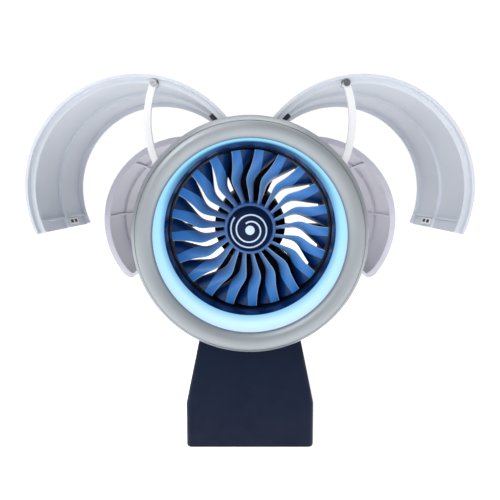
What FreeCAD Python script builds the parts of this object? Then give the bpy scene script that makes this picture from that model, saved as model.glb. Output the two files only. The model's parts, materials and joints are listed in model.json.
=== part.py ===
import FreeCAD, Part
import math
import os

# Desk display model of a high-bypass jet engine on a stand, in millimetres.
# The model stands on z = 0, its intake faces -Y and +Z is up.
# Every piece is drawn in the engine frame (engine axis on Y, y = 0 at the widest
# sight line of the intake lip) and moved up onto the stand when it is written.

V = FreeCAD.Vector
ORIGIN = V(0, 0, 0)
AXIS = V(0, 1, 0)

# ---- Overall sizes ----
axis_height = 184.0          # engine axis above the table
nacelle_r = 100.0            # outside of the nacelle
skin = 2.6                   # wall of the nacelle skins
stand_front = -2.0           # front face of the stand
stand_depth = 140.0
stand_half_width = 55.0
stand_knee = 37.0            # height where the sides start to lean in
stand_top_half_width = 44.0
stand_top_rise = 7.0         # where the top width is measured, above the nacelle's underside
stand_hidden_rise = 20.0     # how far the block runs up before the nacelle is cut out of it
stand_wall = 3.0

# ---- Intake ----
highlight_y = -19.0          # foremost point of the lip
lip_inner_depth = 8.5        # from the foremost circle in to the throat
throat_gap = 2.0             # the throat is this much wider than the blade tips
throat_y = -13.8             # where the lip turns into the duct
lip_crown_y = 11.0           # where the outside of the lip becomes a cylinder
lip_wall = 2.4
seam_angle = 21.0            # where the lip meets the outer cowl, on the lip's ellipse
seam_groove = 1.2
cowl_rear_y = 14.6
bulkhead_t = 2.5
bulkhead_hole_r = 5.0
bulkhead_hole_count = 18
duct_wall = 2.4
light_rear_y = 23.5
liner_rear_y = 40.0
led_count = 48
led_size = 3.0
led_board_t = 0.8
led_height = 1.6
led_board_width = 12.0

# ---- Fan ----
blade_count = 21
blade_tip_r = 76.0
blade_front_y = 43.0
blade_phase = -0.4           # first blade's own line, clockwise of the top
hub_r = 24.4
hub_rear_r = 27.0
hub_front_y = 41.0
hub_length = 21.0
spinner_r = 22.0
spinner_length = 13.0
spinner_wall = 1.8
shaft_r = 4.0
running_gap = 0.05
tip_gap = 1.2
fan_case_wall = 2.4
fan_case_length = 26.0
flange_height = 2.2
flange_t = 2.0
case_bolt_count = 20
case_bolt_r = 0.6
case_bolt_head_r = 0.9
case_bolt_head_t = 0.8
case_rib_height = 1.2
frame_length = 20.0
frame_strut_angles = (25.0, 90.0, 130.0, 180.0, 215.0, 270.0, 337.0)
frame_web_spans = ((-23.0, 25.0), (130.0, 215.0))
frame_web_t = 3.0
frame_strut_t = 2.6
frame_strut_chord = 13.0
core_front_r = 36.5
core_wall = 2.2

# ---- Core ----
compressor_length = 42.0
compressor_rear_r = 28.0
combustor_length = 28.0
combustor_r = 33.0
turbine_length = 40.0
turbine_r = 42.0
rear_frame_length = 10.0
nozzle_length = 36.0
nozzle_exit_r = 33.0
nozzle_wall = 1.6
plug_r = 20.0
plug_length = 56.0
plug_tip_r = 2.5
rib_height = 1.8
rib_t = 1.6
fuel_nozzle_count = 12
pipe_r = 1.2
bush_r = 8.0
bush_length = 7.0
plate_t = 3.0
motor_r = 13.0
motor_length = 30.0
motor_gap = 3.0
gearbox_height = 9.4
gearbox_half_angle = 26.0
gearbox_length = 14.0

# ---- Pylon and hinges ----
beam_half_width = 13.0
beam_gap = 1.2               # under the beam, above the case flanges
beam_drop = 1.4              # of the beam's top under the fairing
beam_wall = 3.0
beam_front_y = 18.0
beam_rear_y = 214.0
fairing_half_angle = 10.2
fairing_rear_half_angle = 19.5
fairing_rear_y = 106.0       # where the fairing widens
fairing_pad_length = 10.0
cowl_hinge_drop = 4.0        # of the cowl doors' hinge line inside the nacelle's outside
cowl_hinge_angle = 12.0      # from the top
duct_hinge_drop = 5.8
duct_hinge_angle = 21.5
knuckle_r = 3.0
knuckle_width = 5.6
lug_t = 3.0
lug_gap = 0.2
pin_r = 1.5
pin_overhang = 0.8
hinge_pad_width = 12.0
hinge_pad_t = 2.8
hinge_pad_span = 7.5
cowl_hinge_block_t = 8.0     # depth of the cowl hinges' blocks, seen past the door's front flange

# ---- Fan cowl doors ----
door_gap = 0.4               # between a door and the cowl in front of it
door_rear_y = 105.0
door_top_angle = 14.3
door_bottom_angle = 179.6
door_open = 66.0
flange_depth = 4.2
door_flange_t = 2.6
door_rib_y = 62.0
door_rib_t = 2.4
door_rib_depth = 3.0
stiffener_depth = 2.4
stiffener_span = 1.2
stiffener_low_offset = 7.0
stiffener_high_offset = 10.5
cowl_hinge_ys = (29.0, 91.0)
latch_y = 66.5               # just behind the door's rib
latch_length = 18.0
latch_width = 6.6
latch_t = 2.4
latch_edge_gap = 2.5         # from the door's lower edge
latch_pocket_length = 5.0
latch_pocket_width = 3.4
latch_pocket_depth = 1.4
latch_pocket_pitch = 7.4

# ---- Reverser half-shells (C-ducts) ----
duct_door_y = 107.0
duct_door_step = 2.0         # the half-shells are this much inside the nacelle's outside
duct_door_length = 94.0
duct_door_rear_drop = 18.0   # of the boat-tail's end
duct_door_straight = 30.0
duct_door_open = 44.0
duct_door_top_angle = 24.5
duct_door_bottom_angle = 178.6
duct_door_rib_angles = (46.0, 87.0, 130.0)
duct_door_rib_span = 1.3
duct_door_rib_offset = 50.0
duct_door_keel_span = 1.8
duct_door_corner_r = 14.0
duct_hinge_ys = (119.0, 183.0)

# ---- Hold-open struts ----
strut_drop = 6.4             # of the strut's arc inside the nacelle's outside
strut_width = 6.4
strut_t = 2.0
strut_pivot_angle = 57.6     # pivot on the closed door, from the top
strut_span = 54.0            # angle of the strut's own arc
strut_lean = 11.9            # turn of the strut in space, from stowed to open
strut_slack = 0.1
screw_r = 1.5
screw_head_r = 3.0
screw_head_t = 1.5
cross_reach = 1.9            # cross recess in the screw heads
cross_half = 0.35
cross_depth = 0.6
catch_gap = 0.35

# ---- Stand fittings ----
saddle_rear_y = 14.2
stand_clearance = 4.0        # under the closed doors
stand_edge_r = 5.0
base_t = 3.0
foot_r = 7.0
foot_t = 2.0
foot_inset = 16.0
base_screw_r = 1.5
base_screw_head_r = 2.8
saddle_bolt_angle = 13.0
saddle_bolt_y = 5.0
saddle_bolt_r = 2.0
saddle_bolt_head_r = 3.6
switch_x = -20.0
switch_z = 20.0
switch_width = 15.0
switch_height = 21.0
switch_wall = 1.5
switch_body_depth = 12.0
switch_rim = 2.0
rocker_swing = 8.0
rocker_gap = 0.35
rocker_pin_r = 1.0
socket_x = 20.0
socket_r = 4.0
socket_bore_r = 2.85
socket_depth = 12.0
socket_flange_r = 6.0
socket_pin_r = 1.0
board_width = 60.0
board_depth = 40.0
board_t = 1.6
board_z = 12.0
post_r = 3.0

root_overlap = 0.5           # how far a rib or strut is sunk into what it grows from

# ---- Stations and fits that follow from the sizes above ----
throat_r = blade_tip_r + throat_gap
highlight_r = throat_r + lip_inner_depth
bulkhead_y = lip_crown_y
inner_r = nacelle_r - skin
door_front_y = cowl_rear_y + door_gap
duct_outer_r = throat_r + duct_wall
fan_case_r = blade_tip_r + tip_gap
fan_case_outer_r = fan_case_r + fan_case_wall
flange_r = fan_case_outer_r + flange_height
frame_front_y = liner_rear_y + fan_case_length
frame_rear_y = frame_front_y + frame_length
compressor_rear_y = frame_rear_y + compressor_length
combustor_rear_y = compressor_rear_y + combustor_length
turbine_rear_y = combustor_rear_y + turbine_length
rear_frame_rear_y = turbine_rear_y + rear_frame_length
front_bush_y = frame_front_y + 8.0
rear_bush_y = frame_rear_y + 20.0
motor_y = rear_bush_y + bush_length + motor_gap
screw_head_y = door_front_y + 0.1
strut_y = screw_head_y + screw_head_t + strut_slack
door_flange_y = strut_y + strut_t + strut_slack
beam_bottom = flange_r + beam_gap
beam_top = inner_r - beam_drop
strut_arc_r = nacelle_r - strut_drop
duct_door_r = nacelle_r - duct_door_step
duct_door_rear_r = duct_door_r - duct_door_rear_drop
stand_rear = stand_front + stand_depth
stand_mid_y = (stand_front + stand_rear) / 2
floor_z = -axis_height

NODES = {}


def polar(radius, angle, y=0.0):
    """Point at an angle clockwise from the top, seen from the front."""
    turn = math.radians(angle)
    return V(radius * math.sin(turn), y, radius * math.cos(turn))


def turned(shape, angle, x=0.0, z=0.0):
    """A copy turned clockwise, seen from the front, about a line along Y."""
    copy = shape.copy()
    copy.rotate(V(x, 0, z), AXIS, angle)
    return copy


def mirrored(shape):
    """The left-hand twin of a right-hand piece."""
    return shape.mirror(ORIGIN, V(1, 0, 0))


def ring_of(shape, count, start=0.0):
    return [turned(shape, start + 360.0 * i / count) for i in range(count)]


def joined(shapes):
    return shapes[0].fuse(list(shapes[1:])).removeSplitter()


def rod(y, length, radius, x=0.0, z=0.0):
    return Part.makeCylinder(radius, length, V(x, y, z), AXIS)


def tube(y, length, outer, inner, x=0.0, z=0.0):
    return rod(y, length, outer, x, z).cut(rod(y - 1, length + 2, inner, x, z))


def block(x0, x1, y0, y1, z0, z1):
    return Part.makeBox(x1 - x0, y1 - y0, z1 - z0, V(x0, y0, z0))


def plate(points, y, thickness):
    """A flat plate across the engine axis, from its (x, z) corners."""
    corners = [V(x, y, z) for x, z in points]
    return Part.Face(Part.makePolygon(corners + corners[:1])).extrude(V(0, thickness, 0))


def swept(outline, start=0.0, span=360.0):
    """Turns a closed (y, r) outline about the engine axis, from a start angle."""
    corners = [V(0, y, r) for y, r in outline]
    face = Part.Face(Part.makePolygon(corners + corners[:1]))
    return turned(face.revolve(ORIGIN, AXIS, span), start)


def smooth_edge(points):
    curve = Part.BSplineCurve()
    curve.interpolate([V(0, y, r) for y, r in points])
    return curve.toShape()


def straight_edge(a, b):
    return Part.makeLine(V(0, a[0], a[1]), V(0, b[0], b[1]))


def swept_curves(curves, start=0.0, span=360.0):
    """Turns a closed outline of smooth (y, r) curves, joined by straight edges."""
    edges = []
    for i, points in enumerate(curves):
        if len(points) > 1:
            edges.append(smooth_edge(points))
        following = curves[(i + 1) % len(curves)][0]
        if math.dist(points[-1], following) > 1e-6:
            edges.append(straight_edge(points[-1], following))
    face = Part.Face(Part.Wire(edges))
    return turned(face.revolve(ORIGIN, AXIS, span), start)


# ---- Intake ----

def lip_outside(inset, start, end, steps=8):
    """Points on the lip's outer quarter ellipse, moved inwards by inset."""
    points = []
    for i in range(steps + 1):
        turn = math.radians(start + (end - start) * i / steps)
        y = lip_crown_y - (lip_crown_y - highlight_y - inset) * math.cos(turn)
        r = highlight_r + (nacelle_r - highlight_r - inset) * math.sin(turn)
        points.append((y, r))
    return points


def lip_inside(inset, start, end, steps=6):
    """Points on the lip's inner quarter ellipse, moved into the wall by inset."""
    points = []
    for i in range(steps + 1):
        turn = math.radians(start + (end - start) * i / steps)
        y = throat_y - (throat_y - highlight_y - inset) * math.cos(turn)
        r = highlight_r - (highlight_r - throat_r - inset) * math.sin(turn)
        points.append((y, r))
    return points


def make_intake():
    NODES["inlet_lip"] = swept_curves([
        lip_outside(0, seam_angle - seam_groove, 0),
        lip_inside(0, 0, 90),
        lip_inside(lip_wall, 90, 0),
        lip_outside(lip_wall, 0, seam_angle),
    ])
    NODES["inlet_cowl"] = swept_curves([
        lip_outside(0, seam_angle + seam_groove, 90),
        [(cowl_rear_y, nacelle_r)],
        [(cowl_rear_y, nacelle_r - lip_wall)],
        lip_outside(lip_wall, 90, seam_angle),
    ])
    lip_inner_r = nacelle_r - lip_wall
    bulkhead = tube(bulkhead_y, bulkhead_t, lip_inner_r, duct_outer_r)
    hole = rod(bulkhead_y - 1, bulkhead_t + 2, bulkhead_hole_r, 0, (lip_inner_r + duct_outer_r) / 2)
    NODES["inlet_bulkhead"] = bulkhead.cut(ring_of(hole, bulkhead_hole_count))
    NODES["light_ring"] = tube(throat_y, light_rear_y - throat_y, duct_outer_r, throat_r)
    NODES["intake_liner"] = tube(light_rear_y, liner_rear_y - light_rear_y, duct_outer_r, throat_r)
    board_r = duct_outer_r + led_height
    strip = tube(-led_board_width / 2, led_board_width, board_r + led_board_t, board_r)
    half = led_size / 2
    led = block(-half, half, -half, half, duct_outer_r, board_r + led_board_t / 2)
    NODES["led_strip"] = joined([strip] + ring_of(led, led_count))


# ---- Fan ----

# Blade stations: height, then the angle from the blade's own line (clockwise from
# the top) of its leading and trailing edges, the axial chord and the thickness.
BLADE_STATIONS = (
    (0.30, 0.5, 6.5, 15.0, 1.9),
    (0.47, -2.4, 5.0, 15.0, 1.7),
    (0.625, -3.7, 6.6, 14.5, 1.5),
    (0.79, 1.2, 16.0, 13.0, 1.3),
    (0.92, 3.4, 21.2, 11.0, 1.1),
    (1.05, 4.2, 24.2, 9.5, 1.0),
)
BLADE_CAMBER = 0.10


def blade_section(share, lead, trail, chord, thickness):
    """A cambered section across the blade, as a closed curve in a level plane."""
    z = share * blade_tip_r
    x0 = z * math.tan(math.radians(lead))
    x1 = z * math.tan(math.radians(trail))
    y0 = blade_front_y
    length = math.hypot(x1 - x0, chord)
    along = V((x1 - x0) / length, chord / length, 0)
    across = V(along.y, -along.x, 0)
    half = []
    for i in range(1, 6):
        s = i / 6
        bow = 4 * BLADE_CAMBER * length * s * (1 - s)
        fat = thickness * math.sqrt(math.sin(math.pi * s)) / 2
        half.append((s, bow, fat))
    start = V(x0, y0, z)
    end = start + along * length
    upper = [start + along * (s * length) + across * (bow + fat) for s, bow, fat in half]
    lower = [start + along * (s * length) + across * (bow - fat) for s, bow, fat in half]
    edges = []
    for points in ([start] + upper + [end], [end] + lower[::-1] + [start]):
        curve = Part.BSplineCurve()
        curve.interpolate(points)
        edges.append(curve.toShape())
    return Part.Wire(edges)


def make_blade():
    sections = [blade_section(*station) for station in BLADE_STATIONS]
    blade = Part.makeLoft(sections, True, False)
    reach = blade_tip_r * 0.5
    limits = rod(blade_front_y - reach, 2 * reach, blade_tip_r)
    return turned(blade.common(limits), blade_phase)


def make_fan():
    rear = hub_front_y + hub_length
    web_r = hub_r - 5.0
    hub = swept([
        (hub_front_y, shaft_r), (rear, shaft_r), (rear, shaft_r + 5), (hub_front_y + 8, shaft_r + 5),
        (hub_front_y + 8, web_r), (rear, web_r + 3), (rear, hub_rear_r), (hub_front_y, hub_r),
    ])
    NODES["fan_rotor"] = joined([hub] + ring_of(make_blade(), blade_count))
    steps = 10
    outside = []
    for i in range(steps + 1):
        turn = math.pi / 2 * i / steps
        outside.append((hub_front_y - spinner_length * math.cos(turn), spinner_r * math.sin(turn)))
    depth = spinner_length - spinner_wall
    radius = spinner_r - spinner_wall
    inside = [(hub_front_y - depth * y / spinner_length, r * radius / spinner_r)
              for y, r in ((hub_front_y - p[0], p[1]) for p in outside)]
    NODES["spinner"] = swept_curves([outside, inside[::-1]])
    shaft_length = motor_y + 12.0 - hub_front_y
    NODES["fan_shaft"] = rod(hub_front_y, shaft_length, shaft_r)


def case_bolts(y, length):
    """Round-headed bolts and nuts through a pair of flanges."""
    circle = (fan_case_outer_r + flange_r) / 2
    shank = rod(y, length, case_bolt_r, 0, circle)
    head = rod(y - case_bolt_head_t, case_bolt_head_t, case_bolt_head_r, 0, circle)
    nut = rod(y + length, case_bolt_head_t, case_bolt_head_r, 0, circle)
    return ring_of(joined([shank, head, nut]), case_bolt_count)


def make_fan_case():
    rear = frame_front_y
    mid = (liner_rear_y + rear) / 2
    case = swept([
        (liner_rear_y, fan_case_r), (rear, fan_case_r), (rear, flange_r),
        (rear - flange_t, flange_r), (rear - flange_t, fan_case_outer_r),
        (mid + 1, fan_case_outer_r), (mid + 1, fan_case_outer_r + case_rib_height),
        (mid - 1, fan_case_outer_r + case_rib_height), (mid - 1, fan_case_outer_r),
        (liner_rear_y + flange_t, fan_case_outer_r), (liner_rear_y + flange_t, flange_r),
        (liner_rear_y, flange_r),
    ])
    bolts = case_bolts(rear - flange_t, 2 * flange_t)
    NODES["fan_case"] = case.cut(bolts)
    NODES["case_bolts"] = Part.makeCompound(bolts)
    front = frame_front_y
    outer = swept([
        (front, fan_case_r), (frame_rear_y, fan_case_r), (frame_rear_y, flange_r),
        (frame_rear_y - flange_t, flange_r), (frame_rear_y - flange_t, fan_case_outer_r),
        (front + flange_t, fan_case_outer_r), (front + flange_t, flange_r), (front, flange_r),
    ])
    core_r = core_front_r - core_wall
    inner = swept([
        (front - 3, core_front_r - 1.2), (front - 2, core_front_r - 0.4), (front, core_front_r),
        (frame_rear_y, core_front_r), (frame_rear_y, core_r), (front - 3, core_r + 0.4),
    ])
    strut_y = front + (frame_length - frame_strut_chord) / 2
    half = frame_strut_t / 2
    low = core_front_r - root_overlap
    high = fan_case_r + root_overlap
    strut = plate([(-half, low), (half, low), (half, high), (-half, high)], strut_y, frame_strut_chord)
    struts = [turned(strut, angle) for angle in frame_strut_angles]
    web_y = strut_y + frame_strut_chord - frame_web_t
    webs = [swept(ring_strip(web_y, frame_web_t, low, high), start, end - start)
            for start, end in frame_web_spans]
    NODES["fan_frame"] = joined([outer, inner] + struts + webs).cut(bolts)


# ---- Core ----

def cased(front_y, front_r, length, rear_r, wall, rib_shares):
    """A conical case with a flange at each end and ribs along it."""
    shell = swept([
        (front_y, front_r), (front_y + length, rear_r),
        (front_y + length, rear_r - wall), (front_y, front_r - wall),
    ])
    pieces = [shell]
    for share in (0.0,) + rib_shares + (1.0,):
        y = front_y + share * (length - rib_t)
        r = front_r + (rear_r - front_r) * share
        pieces.append(tube(y, rib_t, r + rib_height, r - wall / 2))
    return joined(pieces)


def make_bearings():
    """Drilled plates across the core that carry the shaft's two bushes and the motor."""
    hole_count = 6
    for name, y, case_r in (
        ("front_bearing_plate", front_bush_y + 2, core_front_r - core_wall),
        ("rear_bearing_plate", rear_bush_y + 2, core_radius_at(rear_bush_y + 2 + plate_t) - core_wall - 0.1),
    ):
        disc = tube(y, plate_t, case_r, bush_r)
        hole = rod(y - 1, plate_t + 2, 5.0, 0, (case_r + bush_r) / 2)
        NODES[name] = disc.cut(ring_of(hole, hole_count))
    for name, y in (("front_bush", front_bush_y), ("rear_bush", rear_bush_y)):
        NODES[name] = tube(y, bush_length, bush_r, shaft_r + running_gap)
    case_r = core_radius_at(motor_y + plate_t) - core_wall - 0.1
    NODES["motor_plate"] = tube(motor_y, plate_t, case_r, motor_r)
    can = rod(motor_y, motor_length, motor_r)
    bore = rod(motor_y - 1, 14.0, shaft_r + running_gap)
    NODES["fan_motor"] = can.cut(bore).fuse(rod(motor_y + motor_length, 2.5, 4.5)).removeSplitter()


def core_radius_at(y):
    share = (y - frame_rear_y) / compressor_length
    return core_front_r + (compressor_rear_r - core_front_r) * share


def make_core():
    NODES["compressor_case"] = cased(frame_rear_y, core_front_r, compressor_length,
                                     compressor_rear_r, core_wall, (0.2, 0.4, 0.6, 0.8))
    NODES["combustor_case"] = cased(compressor_rear_y, compressor_rear_r, combustor_length,
                                    combustor_r, core_wall, (0.5,))
    NODES["turbine_case"] = cased(combustor_rear_y, combustor_r, turbine_length,
                                  turbine_r, core_wall, (0.25, 0.5, 0.75))
    rear_y = turbine_rear_y
    inner_r = turbine_r - core_wall
    outer = tube(rear_y, rear_frame_length, turbine_r, inner_r)
    hub = tube(rear_y, rear_frame_length, plug_r, plug_r - 2.5)
    half = 0.9
    vane = plate([(-half, plug_r - 0.5), (half, plug_r - 0.5), (half, inner_r + 0.5),
                  (-half, inner_r + 0.5)], rear_y + 1, rear_frame_length - 2)
    NODES["turbine_rear_frame"] = joined([outer, hub] + ring_of(vane, 10))
    y = rear_frame_rear_y
    outside = [(y, turbine_r), (y + 0.4 * nozzle_length, turbine_r - 1.5), (y + nozzle_length, nozzle_exit_r)]
    inside = [(py, pr - nozzle_wall) for py, pr in outside]
    NODES["exhaust_nozzle"] = swept_curves([outside, inside[::-1]])
    cone = [(y + share * plug_length, plug_r - (plug_r - plug_tip_r) * share ** 2)
            for share in (0.0, 0.25, 0.5, 0.75, 1.0)]
    NODES["exhaust_cone"] = swept_curves([cone, [(y + plug_length, 0)], [(y, 0)]])


def make_core_fittings():
    ring_y = compressor_rear_y + combustor_length * 0.25
    case_r = compressor_rear_r + (combustor_r - compressor_rear_r) * 0.25
    ring_r = case_r + 5.5
    hoop = Part.makeTorus(ring_r, pipe_r, V(0, ring_y, 0), AXIS)
    stem = Part.makeCylinder(pipe_r * 0.8, ring_r - case_r + 1, V(0, ring_y, case_r - 1), V(0, 0, 1))
    pieces = joined([hoop] + ring_of(stem, fuel_nozzle_count))
    NODES["fuel_manifold"] = pieces.cut(NODES["combustor_case"])
    y = liner_rear_y + flange_t + 1.0
    top = fan_case_outer_r + case_rib_height
    span = 2 * gearbox_half_angle
    outline = [(y, top), (y + gearbox_length, top), (y + gearbox_length, top + gearbox_height - 2),
               (y + gearbox_length - 2, top + gearbox_height), (y + 2, top + gearbox_height),
               (y, top + gearbox_height - 2)]
    body = swept(outline, 180 - gearbox_half_angle, span)
    feet = [swept([(y + 2, fan_case_outer_r), (y + 6, fan_case_outer_r), (y + 6, top + 1), (y + 2, top + 1)],
                  180 + side * (gearbox_half_angle - 4) - 2, 4) for side in (-1, 1)]
    NODES["accessory_gearbox"] = joined([body] + feet).cut(NODES["fan_case"])
    tank_y = y + 1
    tank = swept([(tank_y, fan_case_outer_r), (tank_y + 5, fan_case_outer_r), (tank_y + 5, top + 6),
                  (tank_y, top + 6)], 214, 26)
    NODES["oil_tank"] = tank.cut(NODES["fan_case"])


# ---- Pylon and hinges ----

def make_pylon():
    half = beam_half_width
    beam = block(-half, half, beam_front_y, beam_rear_y, beam_bottom, beam_top)
    hollow = block(-half + beam_wall, half - beam_wall, beam_front_y - 1, beam_rear_y + 1,
                   beam_bottom + beam_wall, beam_top - beam_wall)
    NODES["pylon_beam"] = beam.cut(hollow)
    front = block(-8, 8, frame_front_y + 4, frame_rear_y - 4, fan_case_outer_r - 2, beam_bottom)
    NODES["front_mount"] = front.cut(rod(0, frame_rear_y, fan_case_outer_r))
    web_front = combustor_rear_y
    foot = block(-9, 9, web_front + 6, turbine_rear_y - 6, beam_bottom - 3, beam_bottom)
    web = plate([(-2.5, combustor_r - 2), (2.5, combustor_r - 2), (2.5, beam_bottom), (-2.5, beam_bottom)],
                web_front + 6, turbine_length - 12)
    rear = joined([foot, web])
    solid_case = swept([(web_front, 0), (web_front, combustor_r), (turbine_rear_y, turbine_r),
                        (turbine_rear_y, 0)])
    NODES["rear_mount"] = rear.cut(solid_case).cut(NODES["turbine_case"])
    front_strip = ring_strip(door_front_y, fairing_rear_y - door_front_y + 1, inner_r, nacelle_r)
    taper_y = beam_rear_y - 30
    rear_strip = [(fairing_rear_y, inner_r), (fairing_rear_y, nacelle_r), (taper_y, nacelle_r),
                  (beam_rear_y, nacelle_r - skin / 2), (beam_rear_y, inner_r)]
    covers = [swept(front_strip, -fairing_half_angle, 2 * fairing_half_angle),
              swept(rear_strip, -fairing_rear_half_angle, 2 * fairing_rear_half_angle)]
    pad_half = beam_half_width / 2
    pad_ys = (cowl_hinge_ys[0] - 8.0, fairing_rear_y - 6.0, beam_rear_y - 44.0)
    pad_top = inner_r + root_overlap
    pads = [block(-pad_half, pad_half, y, y + fairing_pad_length, beam_top, pad_top) for y in pad_ys]
    NODES["pylon_fairing"] = joined(covers + pads)


def hinge_line(drop, angle):
    """The (x, z) of a right-hand hinge line inside the nacelle's outside."""
    point = polar(nacelle_r - drop, angle)
    return point.x, point.z


def hinge_lugs(y, line):
    """The two fixed ears of one hinge, on the right side of the beam."""
    x, z = line
    reach = knuckle_width / 2 + lug_gap
    root_low = (beam_half_width, beam_bottom + 1.0)
    root_high = (beam_half_width, beam_top - 2.0)
    ears = []
    for front in (y - reach - lug_t, y + reach):
        arm = plate([root_low, (x + 1.0, z - knuckle_r + 0.2), (x - 1.0, z + knuckle_r / 2), root_high],
                    front, lug_t)
        ears.append(joined([arm, rod(front, lug_t, knuckle_r, x, z)]))
    return ears


def hinge_pin(y, line):
    length = knuckle_width + 2 * (lug_gap + lug_t + pin_overhang)
    return rod(y - length / 2, length, pin_r, *line)


def hinge_leaf(y, line, pad_low, pad_high, pad_start):
    """The moving leaf: a pad inside the door, a neck, an arm and a knuckle with a running bore."""
    x, z = line
    half = hinge_pad_width / 2
    pad = swept([(y - half, pad_low), (y + half, pad_low), (y + half, pad_high), (y - half, pad_high)],
                pad_start, hinge_pad_span)
    arm_half = knuckle_r * 0.7
    angle = math.degrees(math.atan2(x, z))
    width = knuckle_width
    neck = swept(ring_strip(y - width / 2, width, pad_low, pad_high), angle, pad_start + 1.0 - angle)
    line_r = math.hypot(x, z)
    low = min(line_r, pad_low)
    high = max(line_r, pad_high)
    arm = turned(block(-arm_half, arm_half, y - width / 2, y + width / 2, low, high), angle)
    leaf = joined([pad, neck, arm, rod(y - width / 2, width, knuckle_r, x, z)])
    return leaf.cut(rod(y - width, 2 * width, pin_r + running_gap, x, z))


def opened(shape, angle, line):
    """Swings a closed right-hand door piece open about its hinge line."""
    return turned(shape, -angle, *line)


def both_sides(name, shape):
    NODES[name + "_right"] = shape
    NODES[name + "_left"] = mirrored(shape)


def make_hinge_fixings():
    """Ears and pins of all the hinges."""
    places = [(y, cowl_line) for y in cowl_hinge_ys] + [(y, duct_line) for y in duct_hinge_ys]
    lugs = [ear for y, line in places for ear in hinge_lugs(y, line)]
    pins = [hinge_pin(y, line) for y, line in places]
    lugs = [ear.cut(pins) for ear in lugs]
    NODES["hinge_lugs"] = Part.makeCompound(lugs + [mirrored(ear) for ear in lugs])
    NODES["hinge_pins"] = Part.makeCompound(pins + [mirrored(pin) for pin in pins])


def make_c_ducts():
    door = closed_c_duct()
    leaves = []
    for y in duct_hinge_ys:
        low = duct_door_r_at(y + hinge_pad_width / 2) - skin - hinge_pad_t
        high = duct_door_r_at(y - hinge_pad_width / 2) - skin
        leaf = hinge_leaf(y, duct_line, low, high, duct_door_top_angle + 1.0)
        leaves.append(leaf.cut(door))
    both_sides("c_duct", opened(door, duct_door_open, duct_line))
    both_sides("duct_hinges", opened(Part.makeCompound(leaves), duct_door_open, duct_line))


# ---- Fan cowl doors ----

def door_span(outline, top, bottom):
    return swept(outline, top, bottom - top)


def ring_strip(y, thickness, low, high):
    return [(y, low), (y + thickness, low), (y + thickness, high), (y, high)]


def make_fan_cowls():
    low = inner_r - flange_depth
    top = door_top_angle
    bottom = door_bottom_angle
    high = inner_r + root_overlap
    length = door_rear_y - door_front_y
    skin_shape = door_span(ring_strip(door_front_y, length, inner_r, nacelle_r), top, bottom)
    front = door_span(ring_strip(door_flange_y, door_flange_t, low, high), top, bottom)
    rear = door_span(ring_strip(door_rear_y - door_flange_t, door_flange_t, low, high), top, bottom)
    hoop = door_span(ring_strip(door_rib_y, door_rib_t, inner_r - door_rib_depth, high), top, bottom)
    stiffener = ring_strip(door_flange_y, door_rear_y - door_flange_y, inner_r - stiffener_depth, high)
    low_stiffener = swept(stiffener, bottom - stiffener_low_offset, stiffener_span)
    high_stiffener = swept(stiffener, top + stiffener_high_offset, stiffener_span)
    pivot = polar(strut_arc_r, strut_pivot_angle)
    boss = rod(door_flange_y, door_flange_t, screw_head_r + 1.2, pivot.x, pivot.z)
    door = joined([skin_shape, front, rear, hoop, low_stiffener, high_stiffener, boss])
    door = door.cut(rod(door_flange_y - 1, door_flange_t + 2, screw_r, pivot.x, pivot.z))
    leaves = [cowl_leaf(y, top + 1.2).cut(door) for y in cowl_hinge_ys]
    both_sides("fan_cowl", opened(door, door_open, cowl_line))
    both_sides("cowl_hinges", opened(Part.makeCompound(leaves), door_open, cowl_line))
    both_sides("cowl_latch", opened(cowl_latch().cut(door), door_open, cowl_line))


def cowl_leaf(y, start):
    """A fan cowl's moving leaf, whose pad carries a deeper block."""
    front = y - hinge_pad_width / 2
    outline = ring_strip(front, hinge_pad_width, inner_r - cowl_hinge_block_t, inner_r)
    leaf = hinge_leaf(y, cowl_line, inner_r - hinge_pad_t, inner_r, start)
    return joined([leaf, swept(outline, start, hinge_pad_span)])


def cowl_latch():
    """Magnet plate lying along the engine on the skin, beside the door's lower edge."""
    face_r = inner_r - latch_t
    half = math.degrees(latch_width / 2 / inner_r)
    middle = door_bottom_angle - math.degrees(latch_edge_gap / inner_r) - half
    body = swept(ring_strip(latch_y, latch_length, face_r, inner_r), middle - half, 2 * half)
    pocket_half = math.degrees(latch_pocket_width / 2 / inner_r)
    for side in (-0.5, 0.5):
        front = latch_y + (latch_length - latch_pocket_length) / 2 + side * latch_pocket_pitch
        pocket = ring_strip(front, latch_pocket_length, face_r - 1, face_r + latch_pocket_depth)
        body = body.cut(swept(pocket, middle - pocket_half, 2 * pocket_half))
    return body


# ---- Hold-open struts ----

def strut_tail(open_share):
    """Centre of the strut's lower end in space; 0 is stowed and 1 is open."""
    pivot = polar(strut_arc_r, strut_pivot_angle)
    tail = Part.Vertex(polar(strut_arc_r, strut_pivot_angle + strut_span))
    tail.rotate(pivot, AXIS, open_share * (door_open + strut_lean))
    tail.rotate(V(cowl_line[0], 0, cowl_line[1]), AXIS, -open_share * door_open)
    return tail.Point


def cross_slots(centre):
    """The two slots of a cross-head screw that faces -Y."""
    x = centre.x
    z = centre.z
    low = screw_head_y - 1
    high = screw_head_y + cross_depth
    return [block(x - half_x, x + half_x, low, high, z - half_z, z + half_z)
            for half_x, half_z in ((cross_reach, cross_half), (cross_half, cross_reach))]


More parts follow.
